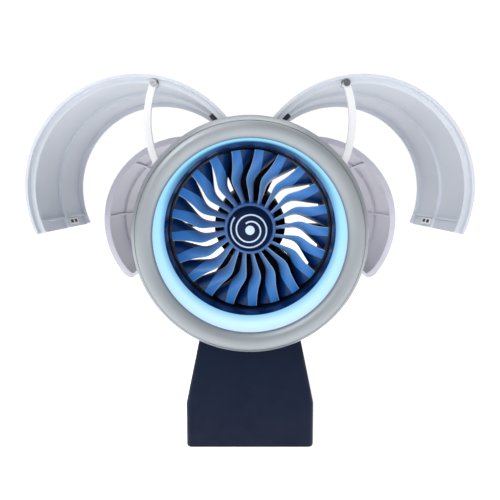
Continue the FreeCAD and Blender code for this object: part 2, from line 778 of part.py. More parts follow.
def make_struts():
    """Flat bowed struts, drawn stowed on the closed right-hand door and swung open."""
    half = strut_width / 2
    outline = ring_strip(strut_y, strut_t, strut_arc_r - half, strut_arc_r + half)
    bar = swept(outline, strut_pivot_angle, strut_span)
    pivot = polar(strut_arc_r, strut_pivot_angle)
    tail = polar(strut_arc_r, strut_pivot_angle + strut_span)
    caps = [rod(strut_y, strut_t, half, end.x, end.z) for end in (pivot, tail)]
    holes = [rod(strut_y - 1, strut_t + 2, screw_r + running_gap, pivot.x, pivot.z),
             rod(strut_y - 1, strut_t + 2, screw_r * 0.7, tail.x, tail.z)]
    strut = joined([bar] + caps).cut(holes)
    strut = turned(strut, door_open + strut_lean, pivot.x, pivot.z)
    both_sides("hold_open_strut", opened(strut, door_open, cowl_line))
    shank_length = door_flange_y + door_flange_t - screw_head_y
    head = rod(screw_head_y, screw_head_t, screw_head_r, pivot.x, pivot.z)
    screw = joined([head, rod(screw_head_y, shank_length, screw_r, pivot.x, pivot.z)])
    both_sides("strut_screw", opened(screw.cut(cross_slots(pivot)), door_open, cowl_line))
    rest = strut_tail(1.0)
    rest_r = math.hypot(rest.x, rest.z)
    rest_angle = math.degrees(math.atan2(rest.x, rest.z))
    reach = rest_r - half - catch_gap
    front = bulkhead_y + bulkhead_t
    outline = ring_strip(front, strut_y + strut_t - front, duct_outer_r, reach)
    catch = swept(outline, rest_angle - 4, 8)
    NODES["strut_catches"] = Part.makeCompound([catch, mirrored(catch)])


# ---- Reverser half-shells (C-ducts) ----

def c_duct_outline(inset, reverse=False):
    """Outside of the half-shell: straight, then a smooth boat-tail."""
    start = duct_door_y
    bend = start + duct_door_straight
    rear = start + duct_door_length
    drop = duct_door_r - duct_door_rear_r
    curve = [(bend, duct_door_r - inset), (bend + (rear - bend) * 0.5, duct_door_r - drop * 0.3 - inset),
             (rear, duct_door_rear_r - inset)]
    return curve[::-1] if reverse else curve


def duct_door_r_at(y):
    share = max(0.0, (y - duct_door_y - duct_door_straight) / (duct_door_length - duct_door_straight))
    return duct_door_r - (duct_door_r - duct_door_rear_r) * share ** 1.74


def c_duct_layer(outer_inset, inner_inset):
    """Closed outline between two depths under the half-shell's outside."""
    return [[(duct_door_y, duct_door_r - outer_inset)], c_duct_outline(outer_inset),
            c_duct_outline(inner_inset, True), [(duct_door_y, duct_door_r - inner_inset)]]


def closed_c_duct():
    top = duct_door_top_angle
    bottom = duct_door_bottom_angle
    front = duct_door_y
    rear = front + duct_door_length
    inner = duct_door_r - skin
    shell = swept_curves(c_duct_layer(0, skin), top, bottom - top)
    lip = door_span(ring_strip(front, door_flange_t, inner - flange_depth, inner + root_overlap), top, bottom)
    pieces = [shell, lip]
    for rib_y in (front + duct_door_rib_offset, rear - door_rib_t):
        rib_inner = duct_door_r_at(rib_y + door_rib_t / 2) - skin
        outline = ring_strip(rib_y, door_rib_t, rib_inner - door_rib_depth, rib_inner + root_overlap)
        pieces.append(door_span(outline, top, bottom))
    rib = c_duct_layer(skin - root_overlap, skin + door_rib_depth)
    pieces += [swept_curves(rib, angle, duct_door_rib_span) for angle in duct_door_rib_angles]
    keel = c_duct_layer(skin - root_overlap, skin + 2 * flange_depth)
    pieces.append(swept_curves(keel, bottom - duct_door_keel_span, duct_door_keel_span))
    return joined(pieces).cut(corner_cutter(front, bottom))


def corner_cutter(front, bottom):
    """Rounds the half-shell's lower front corner."""
    edge_x = polar(duct_door_r, bottom).x
    r = duct_door_corner_r
    square = block(edge_x - 5, edge_x + r, front - 5, front + r, -duct_door_r - 5, -duct_door_r * 0.6)
    round_part = Part.makeCylinder(r, duct_door_r, V(edge_x + r, front + r, -duct_door_r - 10), V(0, 0, 1))
    return square.cut(round_part)


# ---- Stand ----

def stand_form(inset, drop=0.0):
    """Solid outline of the stand, moved inwards by inset and cut off at the floor less drop."""
    floor = floor_z - drop
    knee_z = stand_knee - axis_height
    lean = (stand_half_width - stand_top_half_width) / (stand_top_rise - nacelle_r - knee_z)
    top_z = stand_hidden_rise - nacelle_r
    wide = stand_half_width - inset
    narrow = wide - lean * (top_z - knee_z)
    length = stand_depth - 2 * inset
    front = stand_front + inset
    body = plate([(-wide, floor), (wide, floor), (wide, knee_z), (narrow, top_z),
                  (-narrow, top_z), (-wide, knee_z)], front, length)
    step_z = -nacelle_r - stand_clearance - inset
    rear = stand_rear - inset
    step_y = saddle_rear_y - inset
    side = [(front - 1, floor), (rear, floor), (rear, knee_z - inset), (step_y, step_z), (step_y, top_z + 1),
            (front - 1, top_z + 1)]
    corners = [V(-stand_half_width - 1, y, z) for y, z in side]
    face = Part.Face(Part.makePolygon(corners + corners[:1]))
    return body.common(face.extrude(V(2 * stand_half_width + 2, 0, 0)))


def nacelle_form(grow):
    """The round form of the intake that the saddle fits, grown by a wall."""
    outside = [(y, r + grow) for y, r in lip_outside(0, seam_angle, 90)]
    front = outside[0][0]
    rear = saddle_rear_y + 1
    return swept_curves([[(front, 0)], outside, [(rear, nacelle_r + grow)], [(rear, 0)]])


def rounded_stand():
    form = stand_form(0)
    edges = []
    for edge in form.Edges:
        ends = [v.Point for v in edge.Vertexes]
        upright = len(ends) == 2 and abs(ends[0].z - ends[1].z) > 10 and abs(ends[0].y - ends[1].y) < 0.01
        if upright and abs(ends[0].x) > stand_top_half_width * 0.8:
            edges.append(edge)
    return form.makeFillet(stand_edge_r, edges)


def stand_corners(inset):
    x = stand_half_width - inset
    return [(side * x, y) for side in (-1, 1) for y in (stand_front + inset, stand_rear - inset)]


def upright(x, y, z, length, radius):
    return Part.makeCylinder(radius, length, V(x, y, z), V(0, 0, 1))


def make_stand():
    base_top = floor_z + base_t
    cavity = stand_form(stand_wall, 5.0).cut(nacelle_form(stand_wall))
    body = rounded_stand().cut(nacelle_form(0)).cut(cavity)
    screw_inset = stand_wall + post_r + 1.2
    posts = [upright(x, y, base_top, 14.0, post_r + 1.5) for x, y in stand_corners(screw_inset)]
    body = joined([body] + posts)
    screws = []
    for x, y in stand_corners(screw_inset):
        head = upright(x, y, floor_z, 1.6, base_screw_head_r)
        screws.append(joined([head, upright(x, y, floor_z, 12.0, base_screw_r)]))
    bolts = saddle_bolts()
    socket_hole = rod(stand_rear - 20, 30, socket_r, socket_x, switch_axis_z())
    body = body.cut(screws + bolts).cut(switch_opening()).cut(socket_hole)
    NODES["stand_body"] = body
    NODES["base_screws"] = Part.makeCompound(screws)
    NODES["saddle_bolts"] = Part.makeCompound(bolts)
    NODES["inlet_cowl"] = NODES["inlet_cowl"].cut(bolts)
    x = stand_half_width - stand_wall
    base = block(-x, x, stand_front + stand_wall, stand_rear - stand_wall, floor_z, base_top)
    feet = [upright(fx, fy, floor_z, foot_t, foot_r) for fx, fy in stand_corners(foot_inset)]
    board_bottom = floor_z + board_z
    board_corners = [(sx * (board_width / 2 - 4), stand_mid_y + sy * (board_depth / 2 - 4))
                     for sx in (-1, 1) for sy in (-1, 1)]
    pillars = [upright(px, py, base_top - 1, board_bottom - base_top + 1, post_r) for px, py in board_corners]
    NODES["base_plate"] = joined([base] + pillars).cut(feet + screws)
    NODES["rubber_feet"] = Part.makeCompound(feet)
    NODES["driver_board"] = driver_board(board_bottom)


def saddle_bolts():
    """Two bolts from inside the stand up through the saddle into the outer cowl."""
    y = saddle_bolt_y
    bolts = []
    for angle in (180 - saddle_bolt_angle, 180 + saddle_bolt_angle):
        outward = polar(1.0, angle)
        start = polar(nacelle_r - lip_wall - 3.0, angle, y)
        head = polar(nacelle_r + stand_wall + 0.3, angle, y)
        shank = Part.makeCylinder(saddle_bolt_r, stand_wall + lip_wall + 3.5, start, outward)
        bolts.append(joined([shank, Part.makeCylinder(saddle_bolt_head_r, 2.5, head, outward)]))
    return bolts


def driver_board(z):
    half_x = board_width / 2
    half_y = board_depth / 2
    top = z + board_t
    board = block(-half_x, half_x, stand_mid_y - half_y, stand_mid_y + half_y, z, top)
    chip = block(-6, 6, stand_mid_y - 6, stand_mid_y + 6, top, top + 1.8)
    capacitors = [upright(half_x - 8, stand_mid_y + dy, top, 11.0, 4.0) for dy in (-8, 4)]
    terminal = block(-half_x + 2, -half_x + 12, stand_mid_y - 12, stand_mid_y + 12, top, top + 9)
    return joined([board, chip, terminal] + capacitors)


# ---- Switch and power socket ----

def switch_axis_z():
    return switch_z - axis_height


def switch_opening(grow=0.0):
    z = switch_axis_z()
    half_x = switch_width / 2 - switch_rim + grow
    half_z = switch_height / 2 - switch_rim + grow
    front = stand_rear - 20
    return block(switch_x - half_x, switch_x + half_x, front, stand_rear + 5, z - half_z, z + half_z)


def make_switch_and_socket():
    z = switch_axis_z()
    rim = block(switch_x - switch_width / 2, switch_x + switch_width / 2, stand_rear, stand_rear + 1.2,
                z - switch_height / 2, z + switch_height / 2)
    depth = switch_body_depth
    front = stand_rear - depth
    shell = switch_opening().common(block(-100, 100, front, stand_rear + 0.5, z - 50, z + 50))
    inside = block(-100, 100, front + switch_wall, stand_rear + 5, z - 50, z + 50)
    well = switch_opening(-switch_wall).common(inside)
    pivot_y = stand_rear - 3.0
    half_x = switch_width / 2 - switch_rim - switch_wall - rocker_gap
    pin_half = half_x + rocker_gap + switch_wall * 0.7
    pin = Part.makeCylinder(rocker_pin_r, 2 * pin_half, V(switch_x - pin_half, pivot_y, z), V(1, 0, 0))
    pin_hole = Part.makeCylinder(rocker_pin_r + running_gap, 2 * pin_half + 0.2,
                                 V(switch_x - pin_half - 0.1, pivot_y, z), V(1, 0, 0))
    NODES["switch_housing"] = joined([rim, shell]).cut(well).cut(pin_hole)
    reach = switch_height / 2 - switch_rim - switch_wall - rocker_gap - 0.4
    side = [(-4.0, -3.0), (-4.0, 3.0), (3.4, reach - 1.5), (4.6, reach - 2.4), (3.6, 0.0),
            (4.6, 2.4 - reach), (3.4, 1.5 - reach)]
    corners = [V(switch_x - half_x, pivot_y + y, z + dz) for y, dz in side]
    rocker = Part.Face(Part.makePolygon(corners + corners[:1])).extrude(V(2 * half_x, 0, 0))
    rocker = joined([rocker, pin])
    rocker.rotate(V(switch_x, pivot_y, z), V(1, 0, 0), -rocker_swing)
    NODES["switch_rocker"] = rocker
    flange = rod(stand_rear, 1.2, socket_flange_r, socket_x, z)
    barrel = rod(stand_rear - socket_depth, socket_depth + 0.5, socket_r, socket_x, z)
    bore = rod(stand_rear - socket_depth + 2.5, socket_depth, socket_bore_r, socket_x, z)
    pin = rod(stand_rear - socket_depth + 1, socket_depth - 1.5, socket_pin_r, socket_x, z)
    NODES["power_socket"] = joined([joined([flange, barrel]).cut(bore), pin])


def write_parts():
    os.makedirs("parts", exist_ok=True)
    for name, shape in NODES.items():
        placed = shape.copy()
        placed.translate(V(0, -stand_mid_y, axis_height))
        placed.exportStep("parts/" + name + ".step")
        print(name, len(placed.Solids), round(placed.Volume), placed.isValid())


cowl_line = hinge_line(cowl_hinge_drop, cowl_hinge_angle)
duct_line = hinge_line(duct_hinge_drop, duct_hinge_angle)
make_intake()
make_fan()
make_fan_case()
make_bearings()
make_core()
make_core_fittings()
make_pylon()
make_hinge_fixings()
make_fan_cowls()
make_c_ducts()
make_struts()
make_stand()
make_switch_and_socket()
write_parts()
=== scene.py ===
import bmesh
import bpy
import json
import math
from mathutils import Matrix, Vector


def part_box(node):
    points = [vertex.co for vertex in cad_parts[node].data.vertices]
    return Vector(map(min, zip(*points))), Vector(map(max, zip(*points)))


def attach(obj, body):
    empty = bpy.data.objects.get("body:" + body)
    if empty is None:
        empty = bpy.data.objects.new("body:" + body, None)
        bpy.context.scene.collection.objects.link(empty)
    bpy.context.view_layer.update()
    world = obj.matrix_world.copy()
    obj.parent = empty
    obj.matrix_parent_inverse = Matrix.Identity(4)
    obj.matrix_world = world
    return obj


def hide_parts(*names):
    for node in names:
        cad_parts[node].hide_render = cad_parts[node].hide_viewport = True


# Looks of a desk display model of a jet engine: intake at -Y, exhaust at +Y, +Z up.
# Lengths are in metres; round pieces are drawn as (y, radius) outlines about the engine axis,
# and angles round it are in degrees, clockwise from the top seen from the front.

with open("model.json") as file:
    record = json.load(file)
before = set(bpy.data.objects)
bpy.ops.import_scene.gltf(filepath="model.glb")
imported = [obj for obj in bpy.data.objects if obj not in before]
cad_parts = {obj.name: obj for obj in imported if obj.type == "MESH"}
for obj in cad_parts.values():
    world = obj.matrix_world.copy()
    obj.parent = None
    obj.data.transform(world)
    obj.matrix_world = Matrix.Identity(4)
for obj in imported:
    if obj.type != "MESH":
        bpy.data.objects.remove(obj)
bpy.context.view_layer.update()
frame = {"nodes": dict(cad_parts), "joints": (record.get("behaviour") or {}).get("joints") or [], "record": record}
nodes = frame["nodes"]
MM = 0.001

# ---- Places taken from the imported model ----

def box_of(node):
    low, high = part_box(node)
    return Vector(low), Vector(high)


def joint_named(name):
    return next(joint for joint in frame["joints"] if joint["name"] == name)


light_low, light_high = box_of("light_ring")
lip_low, lip_high = box_of("inlet_lip")
cowl_low, cowl_high = box_of("inlet_cowl")
liner_low, liner_high = box_of("intake_liner")
case_low, case_high = box_of("fan_case")
rotor_low, rotor_high = box_of("fan_rotor")
spinner_low, spinner_high = box_of("spinner")
door_low, door_high = box_of("fan_cowl_right")
duct_low, duct_high = box_of("c_duct_right")
latch_low, latch_high = box_of("cowl_latch_right")
strut_low, strut_high = box_of("hold_open_strut_right")

AXIS_Z = (light_low.z + light_high.z) / 2
NACELLE_R = (cowl_high.x - cowl_low.x) / 2
BLADE_TIP_R = (rotor_high.x - rotor_low.x) / 2
FAN_CASE_FLANGE_R = (case_high.x - case_low.x) / 2
SPINNER_R = (spinner_high.x - spinner_low.x) / 2

COWL_HINGE = Vector(joint_named("cowl_right_close")["pos_m"])
COWL_OPEN = 66.0
DUCT_HINGE = Vector(joint_named("duct_right_close")["pos_m"])
DUCT_OPEN = 44.0

# ---- Sizes that the frame does not give ----

DUCT_WALL = 2.4 * MM
THROAT_R = (light_high.x - light_low.x) / 2 - DUCT_WALL
LIP_WALL = 2.4 * MM
LIP_CROWN_BEHIND = 30.0 * MM     # from the lip's foremost point to where it is a cylinder
LIP_INNER_DEPTH = 8.5 * MM
LIP_INNER_LENGTH = 5.2 * MM
SEAM_ANGLE = 21.0                # on the lip's ellipse
SEAM_GROOVE = 1.2
SKIN = 2.6 * MM
HUB_R = 24.4 * MM
HUB_REAR_R = 27.0 * MM
BLADE_COUNT = 21
BLADE_PHASE = -0.4
BLADE_FRONT = 2.0 * MM           # behind the hub's front
BLADE_CAMBER = 0.10
TIP_GAP = 1.2 * MM
CASE_WALL = 2.4 * MM
FLANGE_T = 2.0 * MM
CASE_BOLT_COUNT = 20
DOOR_TOP = 14.3
DOOR_BOTTOM = 179.6
DOOR_FLANGE_DEPTH = 4.2 * MM
DOOR_FLANGE_T = 2.6 * MM
DOOR_RIB_BEHIND = 47.0 * MM      # behind the door's front edge
DOOR_RIB_T = 2.4 * MM
DOOR_RIB_DEPTH = 3.0 * MM
STIFFENER_DEPTH = 2.4 * MM
STIFFENER_SPAN = 1.2
DUCT_STEP = 2.0 * MM             # half-shells are this much inside the nacelle's outside
DUCT_STRAIGHT = 30.0 * MM
DUCT_REAR_DROP = 18.0 * MM
DUCT_TOP = 24.5
DUCT_BOTTOM = 178.6
DUCT_RIB_ANGLES = (46.0, 87.0, 130.0)
DUCT_RIB_SPAN = 1.3
DUCT_RIB_BEHIND = 50.0 * MM
DUCT_KEEL_SPAN = 1.8
DUCT_CORNER_R = 14.0 * MM
STRUT_ARC_R = NACELLE_R - 6.4 * MM
STRUT_WIDTH = 6.4 * MM
STRUT_START = 57.6
STRUT_SPAN = 54.0
STRUT_LEAN = 11.9
CORE_WALL = 2.2 * MM
CORE_FRONT_R = 36.5 * MM
COMPRESSOR_REAR_R = 28.0 * MM
COMBUSTOR_REAR_R = 33.0 * MM
TURBINE_REAR_R = 42.0 * MM
NOZZLE_EXIT_R = 33.0 * MM
NOZZLE_WALL = 1.6 * MM
PLUG_R = 20.0 * MM
PLUG_TIP_R = 2.5 * MM
CASE_RIB_HEIGHT = 1.8 * MM
CASE_RIB_T = 1.6 * MM

# ---- Fineness ----

ROUND_STEPS = 192
FINE_STEPS = 288
SMALL_CORNER = 0.4 * MM
STRAIGHT_ENOUGH = 160.0          # a corner this open isn't rounded
ROUNDING_SHARE = 0.45            # of a side that one rounded corner may use


# ---- Mesh helpers ----

def shade(bm, crease):
    """Outward faces, smooth except across edges sharper than the crease."""
    bmesh.ops.recalc_face_normals(bm, faces=bm.faces)
    for face in bm.faces:
        face.smooth = True
    for edge in bm.edges:
        if len(edge.link_faces) == 2:
            edge.smooth = edge.calc_face_angle(0) < math.radians(crease)


def finish_piece(name, mesh, body, material, replaces):
    mesh.materials.clear()
    mesh.materials.append(material)
    piece = bpy.data.objects.new(name, mesh)
    bpy.context.scene.collection.objects.link(piece)
    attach(piece, body)
    if replaces:
        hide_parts(*replaces)
    return piece


def mesh_piece(name, bm, body, slot, replaces=(), material=None, crease=35):
    """Makes a finished piece from a bmesh, in its slot's material unless one is given."""
    shade(bm, crease)
    mesh = bpy.data.meshes.new(name)
    bm.to_mesh(mesh)
    bm.free()
    return finish_piece(name, mesh, body, material or MATERIALS[slot], replaces)


def on_circle(radius, angle, y):
    turn = math.radians(angle)
    return Vector((radius * math.sin(turn), y, AXIS_Z + radius * math.cos(turn)))


def rounded(outline, radius, steps=3):
    """The closed outline with every sharp corner replaced by a small curve."""
    points = []
    count = len(outline)
    for i, here in enumerate(outline):
        here = Vector(here)
        before = Vector(outline[i - 1]) - here
        after = Vector(outline[(i + 1) % count]) - here
        if before.angle(after) > math.radians(STRAIGHT_ENOUGH):
            points.append(tuple(here))
            continue
        reach = min(radius, before.length * ROUNDING_SHARE, after.length * ROUNDING_SHARE)
        start = here + before.normalized() * reach
        end = here + after.normalized() * reach
        for step in range(steps + 1):
            t = step / steps
            spot = start * (1 - t) ** 2 + here * 2 * t * (1 - t) + end * t ** 2
            points.append(tuple(spot))
    return points


def add_sweep(bm, outline, start=0.0, span=360.0, steps=ROUND_STEPS):
    """Sweeps a closed (y, radius) outline round the engine axis, capping an open sweep.

    Points on the axis itself share one vertex, so a pole is closed.
    """
    closed = span >= 360
    poles = {j: bm.verts.new((0, y, AXIS_Z)) for j, (y, r) in enumerate(outline) if r == 0}
    rings = []
    for i in range(steps if closed else steps + 1):
        angle = start + span * i / steps
        rings.append([poles[j] if j in poles else bm.verts.new(on_circle(r, angle, y))
                      for j, (y, r) in enumerate(outline)])
    count = len(outline)
    for i in range(steps):
        a = rings[i]
        b = rings[(i + 1) % len(rings)]
        for j in range(count):
            k = (j + 1) % count
            corners = []
            for vert in (a[j], b[j], b[k], a[k]):
                if vert not in corners:
                    corners.append(vert)
            if len(corners) > 2:
                bm.faces.new(corners)
    if not closed:
        for ring in (rings[0], rings[-1]):
            bm.faces.new(ring)


def ring_strip(y, length, low, high):
    return [(y, low), (y + length, low), (y + length, high), (y, high)]


def lathe(name, outline, body, slot, replaces=(), corner=SMALL_CORNER, material=None, steps=ROUND_STEPS):
    bm = bmesh.new()
    add_sweep(bm, rounded(outline, corner) if corner else outline, steps=steps)
    return mesh_piece(name, bm, body, slot, replaces, material)


def add_rod(bm, start, end, radius, sides=24):
    """A capped round rod between two points."""
    axis = Vector(end) - Vector(start)
    turn = axis.to_track_quat("Z", "Y").to_matrix().to_4x4()
    place = Matrix.Translation((Vector(start) + Vector(end)) / 2) @ turn
    bmesh.ops.create_cone(bm, cap_ends=True, segments=sides, radius1=radius, radius2=radius,
                          depth=axis.length, matrix=place)


def turn_about(bm, hinge, angle):
    """Turns a mesh about a line along Y, clockwise seen from the front."""
    bmesh.ops.rotate(bm, verts=bm.verts, cent=hinge, matrix=Matrix.Rotation(math.radians(angle), 3, "Y"))


def both_sides(make, name, hinge, angle, body, slot, node=None, material=None):
    """Builds a closed right-hand piece twice, swings it open and mirrors the second to the left."""
    for side in ("right", "left"):
        bm = bmesh.new()
        make(bm)
        turn_about(bm, hinge, -angle)
        if side == "left":
            bmesh.ops.scale(bm, vec=(-1, 1, 1), verts=bm.verts)
        replaced = [f"{node}_{side}"] if node else []
        mesh_piece(f"{name}_{side}", bm, f"{body}_{side}", slot, replaced, material)


# ---- Geometry Nodes: copies round the engine axis ----

def ring_tree():
    """Copies what it is given round the engine axis and gives the copies one material."""
    tree = bpy.data.node_groups.new("copies_round_the_axis", "GeometryNodeTree")
    sockets = {}
    for label, kind in (("Geometry", "Geometry"), ("Count", "Int"), ("First Angle", "Float"),
                        ("Axis Height", "Float"), ("Paint", "Material")):
        sockets[label] = tree.interface.new_socket(label, in_out="INPUT", socket_type="NodeSocket" + kind)
    tree.interface.new_socket("Geometry", in_out="OUTPUT", socket_type="NodeSocketGeometry")
    given = tree.nodes.new("NodeGroupInput")
    points = tree.nodes.new("GeometryNodePoints")
    index = tree.nodes.new("GeometryNodeInputIndex")
    place = tree.nodes.new("ShaderNodeCombineXYZ")
    step = tree.nodes.new("ShaderNodeMath")
    step.operation = "DIVIDE"
    step.inputs[0].default_value = 2 * math.pi
    turn = tree.nodes.new("ShaderNodeMath")
    turn.operation = "MULTIPLY_ADD"
    spin = tree.nodes.new("ShaderNodeCombineXYZ")
    copies = tree.nodes.new("GeometryNodeInstanceOnPoints")
    real = tree.nodes.new("GeometryNodeRealizeInstances")
    paint = tree.nodes.new("GeometryNodeSetMaterial")
    result = tree.nodes.new("NodeGroupOutput")
    link = tree.links.new
    link(given.outputs["Count"], points.inputs["Count"])
    link(given.outputs["Axis Height"], place.inputs["Z"])
    link(place.outputs["Vector"], points.inputs["Position"])
    link(given.outputs["Count"], step.inputs[1])
    link(index.outputs["Index"], turn.inputs[0])
    link(step.outputs["Value"], turn.inputs[1])
    link(given.outputs["First Angle"], turn.inputs[2])
    link(turn.outputs["Value"], spin.inputs["Y"])
    link(points.outputs[0], copies.inputs["Points"])
    link(given.outputs["Geometry"], copies.inputs["Instance"])
    link(spin.outputs["Vector"], copies.inputs["Rotation"])
    link(copies.outputs["Instances"], real.inputs["Geometry"])
    link(real.outputs["Geometry"], paint.inputs["Geometry"])
    link(given.outputs["Paint"], paint.inputs["Material"])
    link(paint.outputs["Geometry"], result.inputs["Geometry"])
    return tree, {label: socket.identifier for label, socket in sockets.items()}


RING_TREE, RING_INPUTS = ring_tree()


def ring_piece(name, bm, count, first_angle, body, slot, replaces=(), crease=35, material=None):
    """Copies a shape drawn about z = 0 round the engine axis and finishes it as one piece."""
    shade(bm, crease)
    mesh = bpy.data.meshes.new(name + "_one")
    bm.to_mesh(mesh)
    bm.free()
    host = bpy.data.objects.new(name + "_one", mesh)
    bpy.context.scene.collection.objects.link(host)
    copies = host.modifiers.new("copies", "NODES")
    copies.node_group = RING_TREE
    paint = material or MATERIALS[slot]
    for label, value in (("Count", count), ("First Angle", math.radians(first_angle)),
                         ("Axis Height", AXIS_Z), ("Paint", paint)):
        copies[RING_INPUTS[label]] = value
    graph = bpy.context.evaluated_depsgraph_get()
    plain = bpy.data.meshes.new_from_object(host.evaluated_get(graph), preserve_all_data_layers=True,
                                            depsgraph=graph)
    plain.name = name
    host.modifiers.remove(copies)
    bpy.data.objects.remove(host)
    bpy.data.meshes.remove(mesh)
    return finish_piece(name, plain, body, paint, replaces)


# ---- Materials ----

def new_material(name):
    material = bpy.data.materials.new(name)
    material.use_nodes = True
    tree = material.node_tree
    return material, tree, tree.nodes["Principled BSDF"]


def add_node(tree, kind, **settings):
    node = tree.nodes.new(kind)
    for key, value in settings.items():
        setattr(node, key, value)
    return node


def object_noise(tree, scale, detail=4.0, stretch=(1, 1, 1)):
    """Noise on object coordinates; stretch squeezes it along each axis."""
    place = add_node(tree, "ShaderNodeTexCoord")
    mapping = add_node(tree, "ShaderNodeMapping")
    mapping.inputs["Scale"].default_value = stretch
    noise = add_node(tree, "ShaderNodeTexNoise")
    noise.inputs["Scale"].default_value = scale
    noise.inputs["Detail"].default_value = detail
    tree.links.new(place.outputs["Object"], mapping.inputs["Vector"])
    tree.links.new(mapping.outputs["Vector"], noise.inputs["Vector"])
    return noise.outputs["Fac"]


def spread(tree, value, low, high, start=0.3, end=0.7):
    node = add_node(tree, "ShaderNodeMapRange")
    node.inputs["From Min"].default_value = start
    node.inputs["From Max"].default_value = end
    node.inputs["To Min"].default_value = low
    node.inputs["To Max"].default_value = high
    tree.links.new(value, node.inputs["Value"])
    return node.outputs["Result"]


def colour_input(socket, tree, colour):
    if isinstance(colour, tuple):
        socket.default_value = (*colour, 1)
    else:
        tree.links.new(colour, socket)


def two_tones(tree, factor, first, second):
    """Mix of two colours, each a tuple or another node's output."""
    mix = add_node(tree, "ShaderNodeMix", data_type="RGBA")
    colour_input(mix.inputs["A"], tree, first)
    colour_input(mix.inputs["B"], tree, second)
    tree.links.new(factor, mix.inputs["Factor"])
    return mix.outputs["Result"]


def add_bump(tree, shader, height, strength, distance):
    bump = add_node(tree, "ShaderNodeBump")
    bump.inputs["Strength"].default_value = strength
    bump.inputs["Distance"].default_value = distance
    tree.links.new(height, bump.inputs["Height"])
    tree.links.new(bump.outputs["Normal"], shader.inputs["Normal"])


def printed_plastic(name, colour, shade=0.88, roughness=0.42, metallic=0.0, grain=0.00003, coat=0.0,
                    specular=0.5, stretch=(1, 1, 1)):
    """Moulded or printed plastic: faint cloudy tone, uneven gloss and a very fine grain."""
    material, tree, shader = new_material(name)
    cloud = object_noise(tree, 22.0)
    darker = tuple(c * shade for c in colour)
    tone = two_tones(tree, spread(tree, cloud, 0.0, 1.0), darker, colour)
    tree.links.new(tone, shader.inputs["Base Color"])
    gloss = spread(tree, object_noise(tree, 90.0, stretch=stretch), roughness * 0.85, roughness * 1.2)
    tree.links.new(gloss, shader.inputs["Roughness"])
    shader.inputs["Metallic"].default_value = metallic
    shader.inputs["Specular IOR Level"].default_value = specular
    shader.inputs["Coat Weight"].default_value = coat
    shader.inputs["Coat Roughness"].default_value = 0.12
    add_bump(tree, shader, object_noise(tree, 2200.0, 3.0, stretch), 0.3, grain)
    return material


def scaled_height(tree, low, high):
    """0 to 1 between two heights of the piece."""
    place = add_node(tree, "ShaderNodeTexCoord")
    split = add_node(tree, "ShaderNodeSeparateXYZ")
    tree.links.new(place.outputs["Object"], split.inputs["Vector"])
    return spread(tree, split.outputs["Z"], 0.0, 1.0, low, high)


def scaled_depth(tree, front, rear):
    place = add_node(tree, "ShaderNodeTexCoord")
    split = add_node(tree, "ShaderNodeSeparateXYZ")
    tree.links.new(place.outputs["Object"], split.inputs["Vector"])
    return spread(tree, split.outputs["Y"], 0.0, 1.0, front, rear)


def glowing_diffuser():
    """Frosted ring lit from behind, with painted light on its glow: painted brightening makes it whiter at the
    bottom, and painted shade turns the top of its rear navy.
    """
    material, tree, shader = new_material("lit_diffuser")
    height = scaled_height(tree, AXIS_Z - THROAT_R, AXIS_Z + THROAT_R * 0.75)
    upper = scaled_height(tree, AXIS_Z + THROAT_R * 0.2, AXIS_Z + THROAT_R)
    depth = scaled_depth(tree, light_low.y, light_high.y)
    rear = spread(tree, depth, 0.0, 1.0, 0.50, 1.0)
    front = spread(tree, depth, 1.0, 0.0, 0.0, 0.30)
    # The glow is the ring's own light; its blend by height is painted light, whiter towards the bottom and darker
    # towards the top.
    core = two_tones(tree, height, (0.66, 0.94, 1.0), (0.24, 0.72, 1.0))
    rim = two_tones(tree, height, (0.26, 0.58, 0.86), (0.02, 0.14, 0.40))
    pale = two_tones(tree, height, (0.62, 0.74, 0.86), (0.34, 0.66, 0.86))
    glow = two_tones(tree, front, two_tones(tree, rear, core, rim), pale)
    # Painted shade: the top of the ring's rear is mixed to dark navy in both glow and base colour.
    painted_shade_top_rear = add_node(tree, "ShaderNodeMath", operation="MULTIPLY")
    tree.links.new(upper, painted_shade_top_rear.inputs[0])
    tree.links.new(spread(tree, depth, 0.0, 1.0, 0.20, 0.55), painted_shade_top_rear.inputs[1])
    tree.links.new(two_tones(tree, painted_shade_top_rear.outputs["Value"], glow, (0.002, 0.018, 0.085)),
                   shader.inputs["Emission Color"])
    tree.links.new(two_tones(tree, painted_shade_top_rear.outputs["Value"], (0.10, 0.20, 0.27), (0.002, 0.015, 0.06)),
                   shader.inputs["Base Color"])
    shader.inputs["Emission Strength"].default_value = 0.92
    shader.inputs["Roughness"].default_value = 0.5
    return material


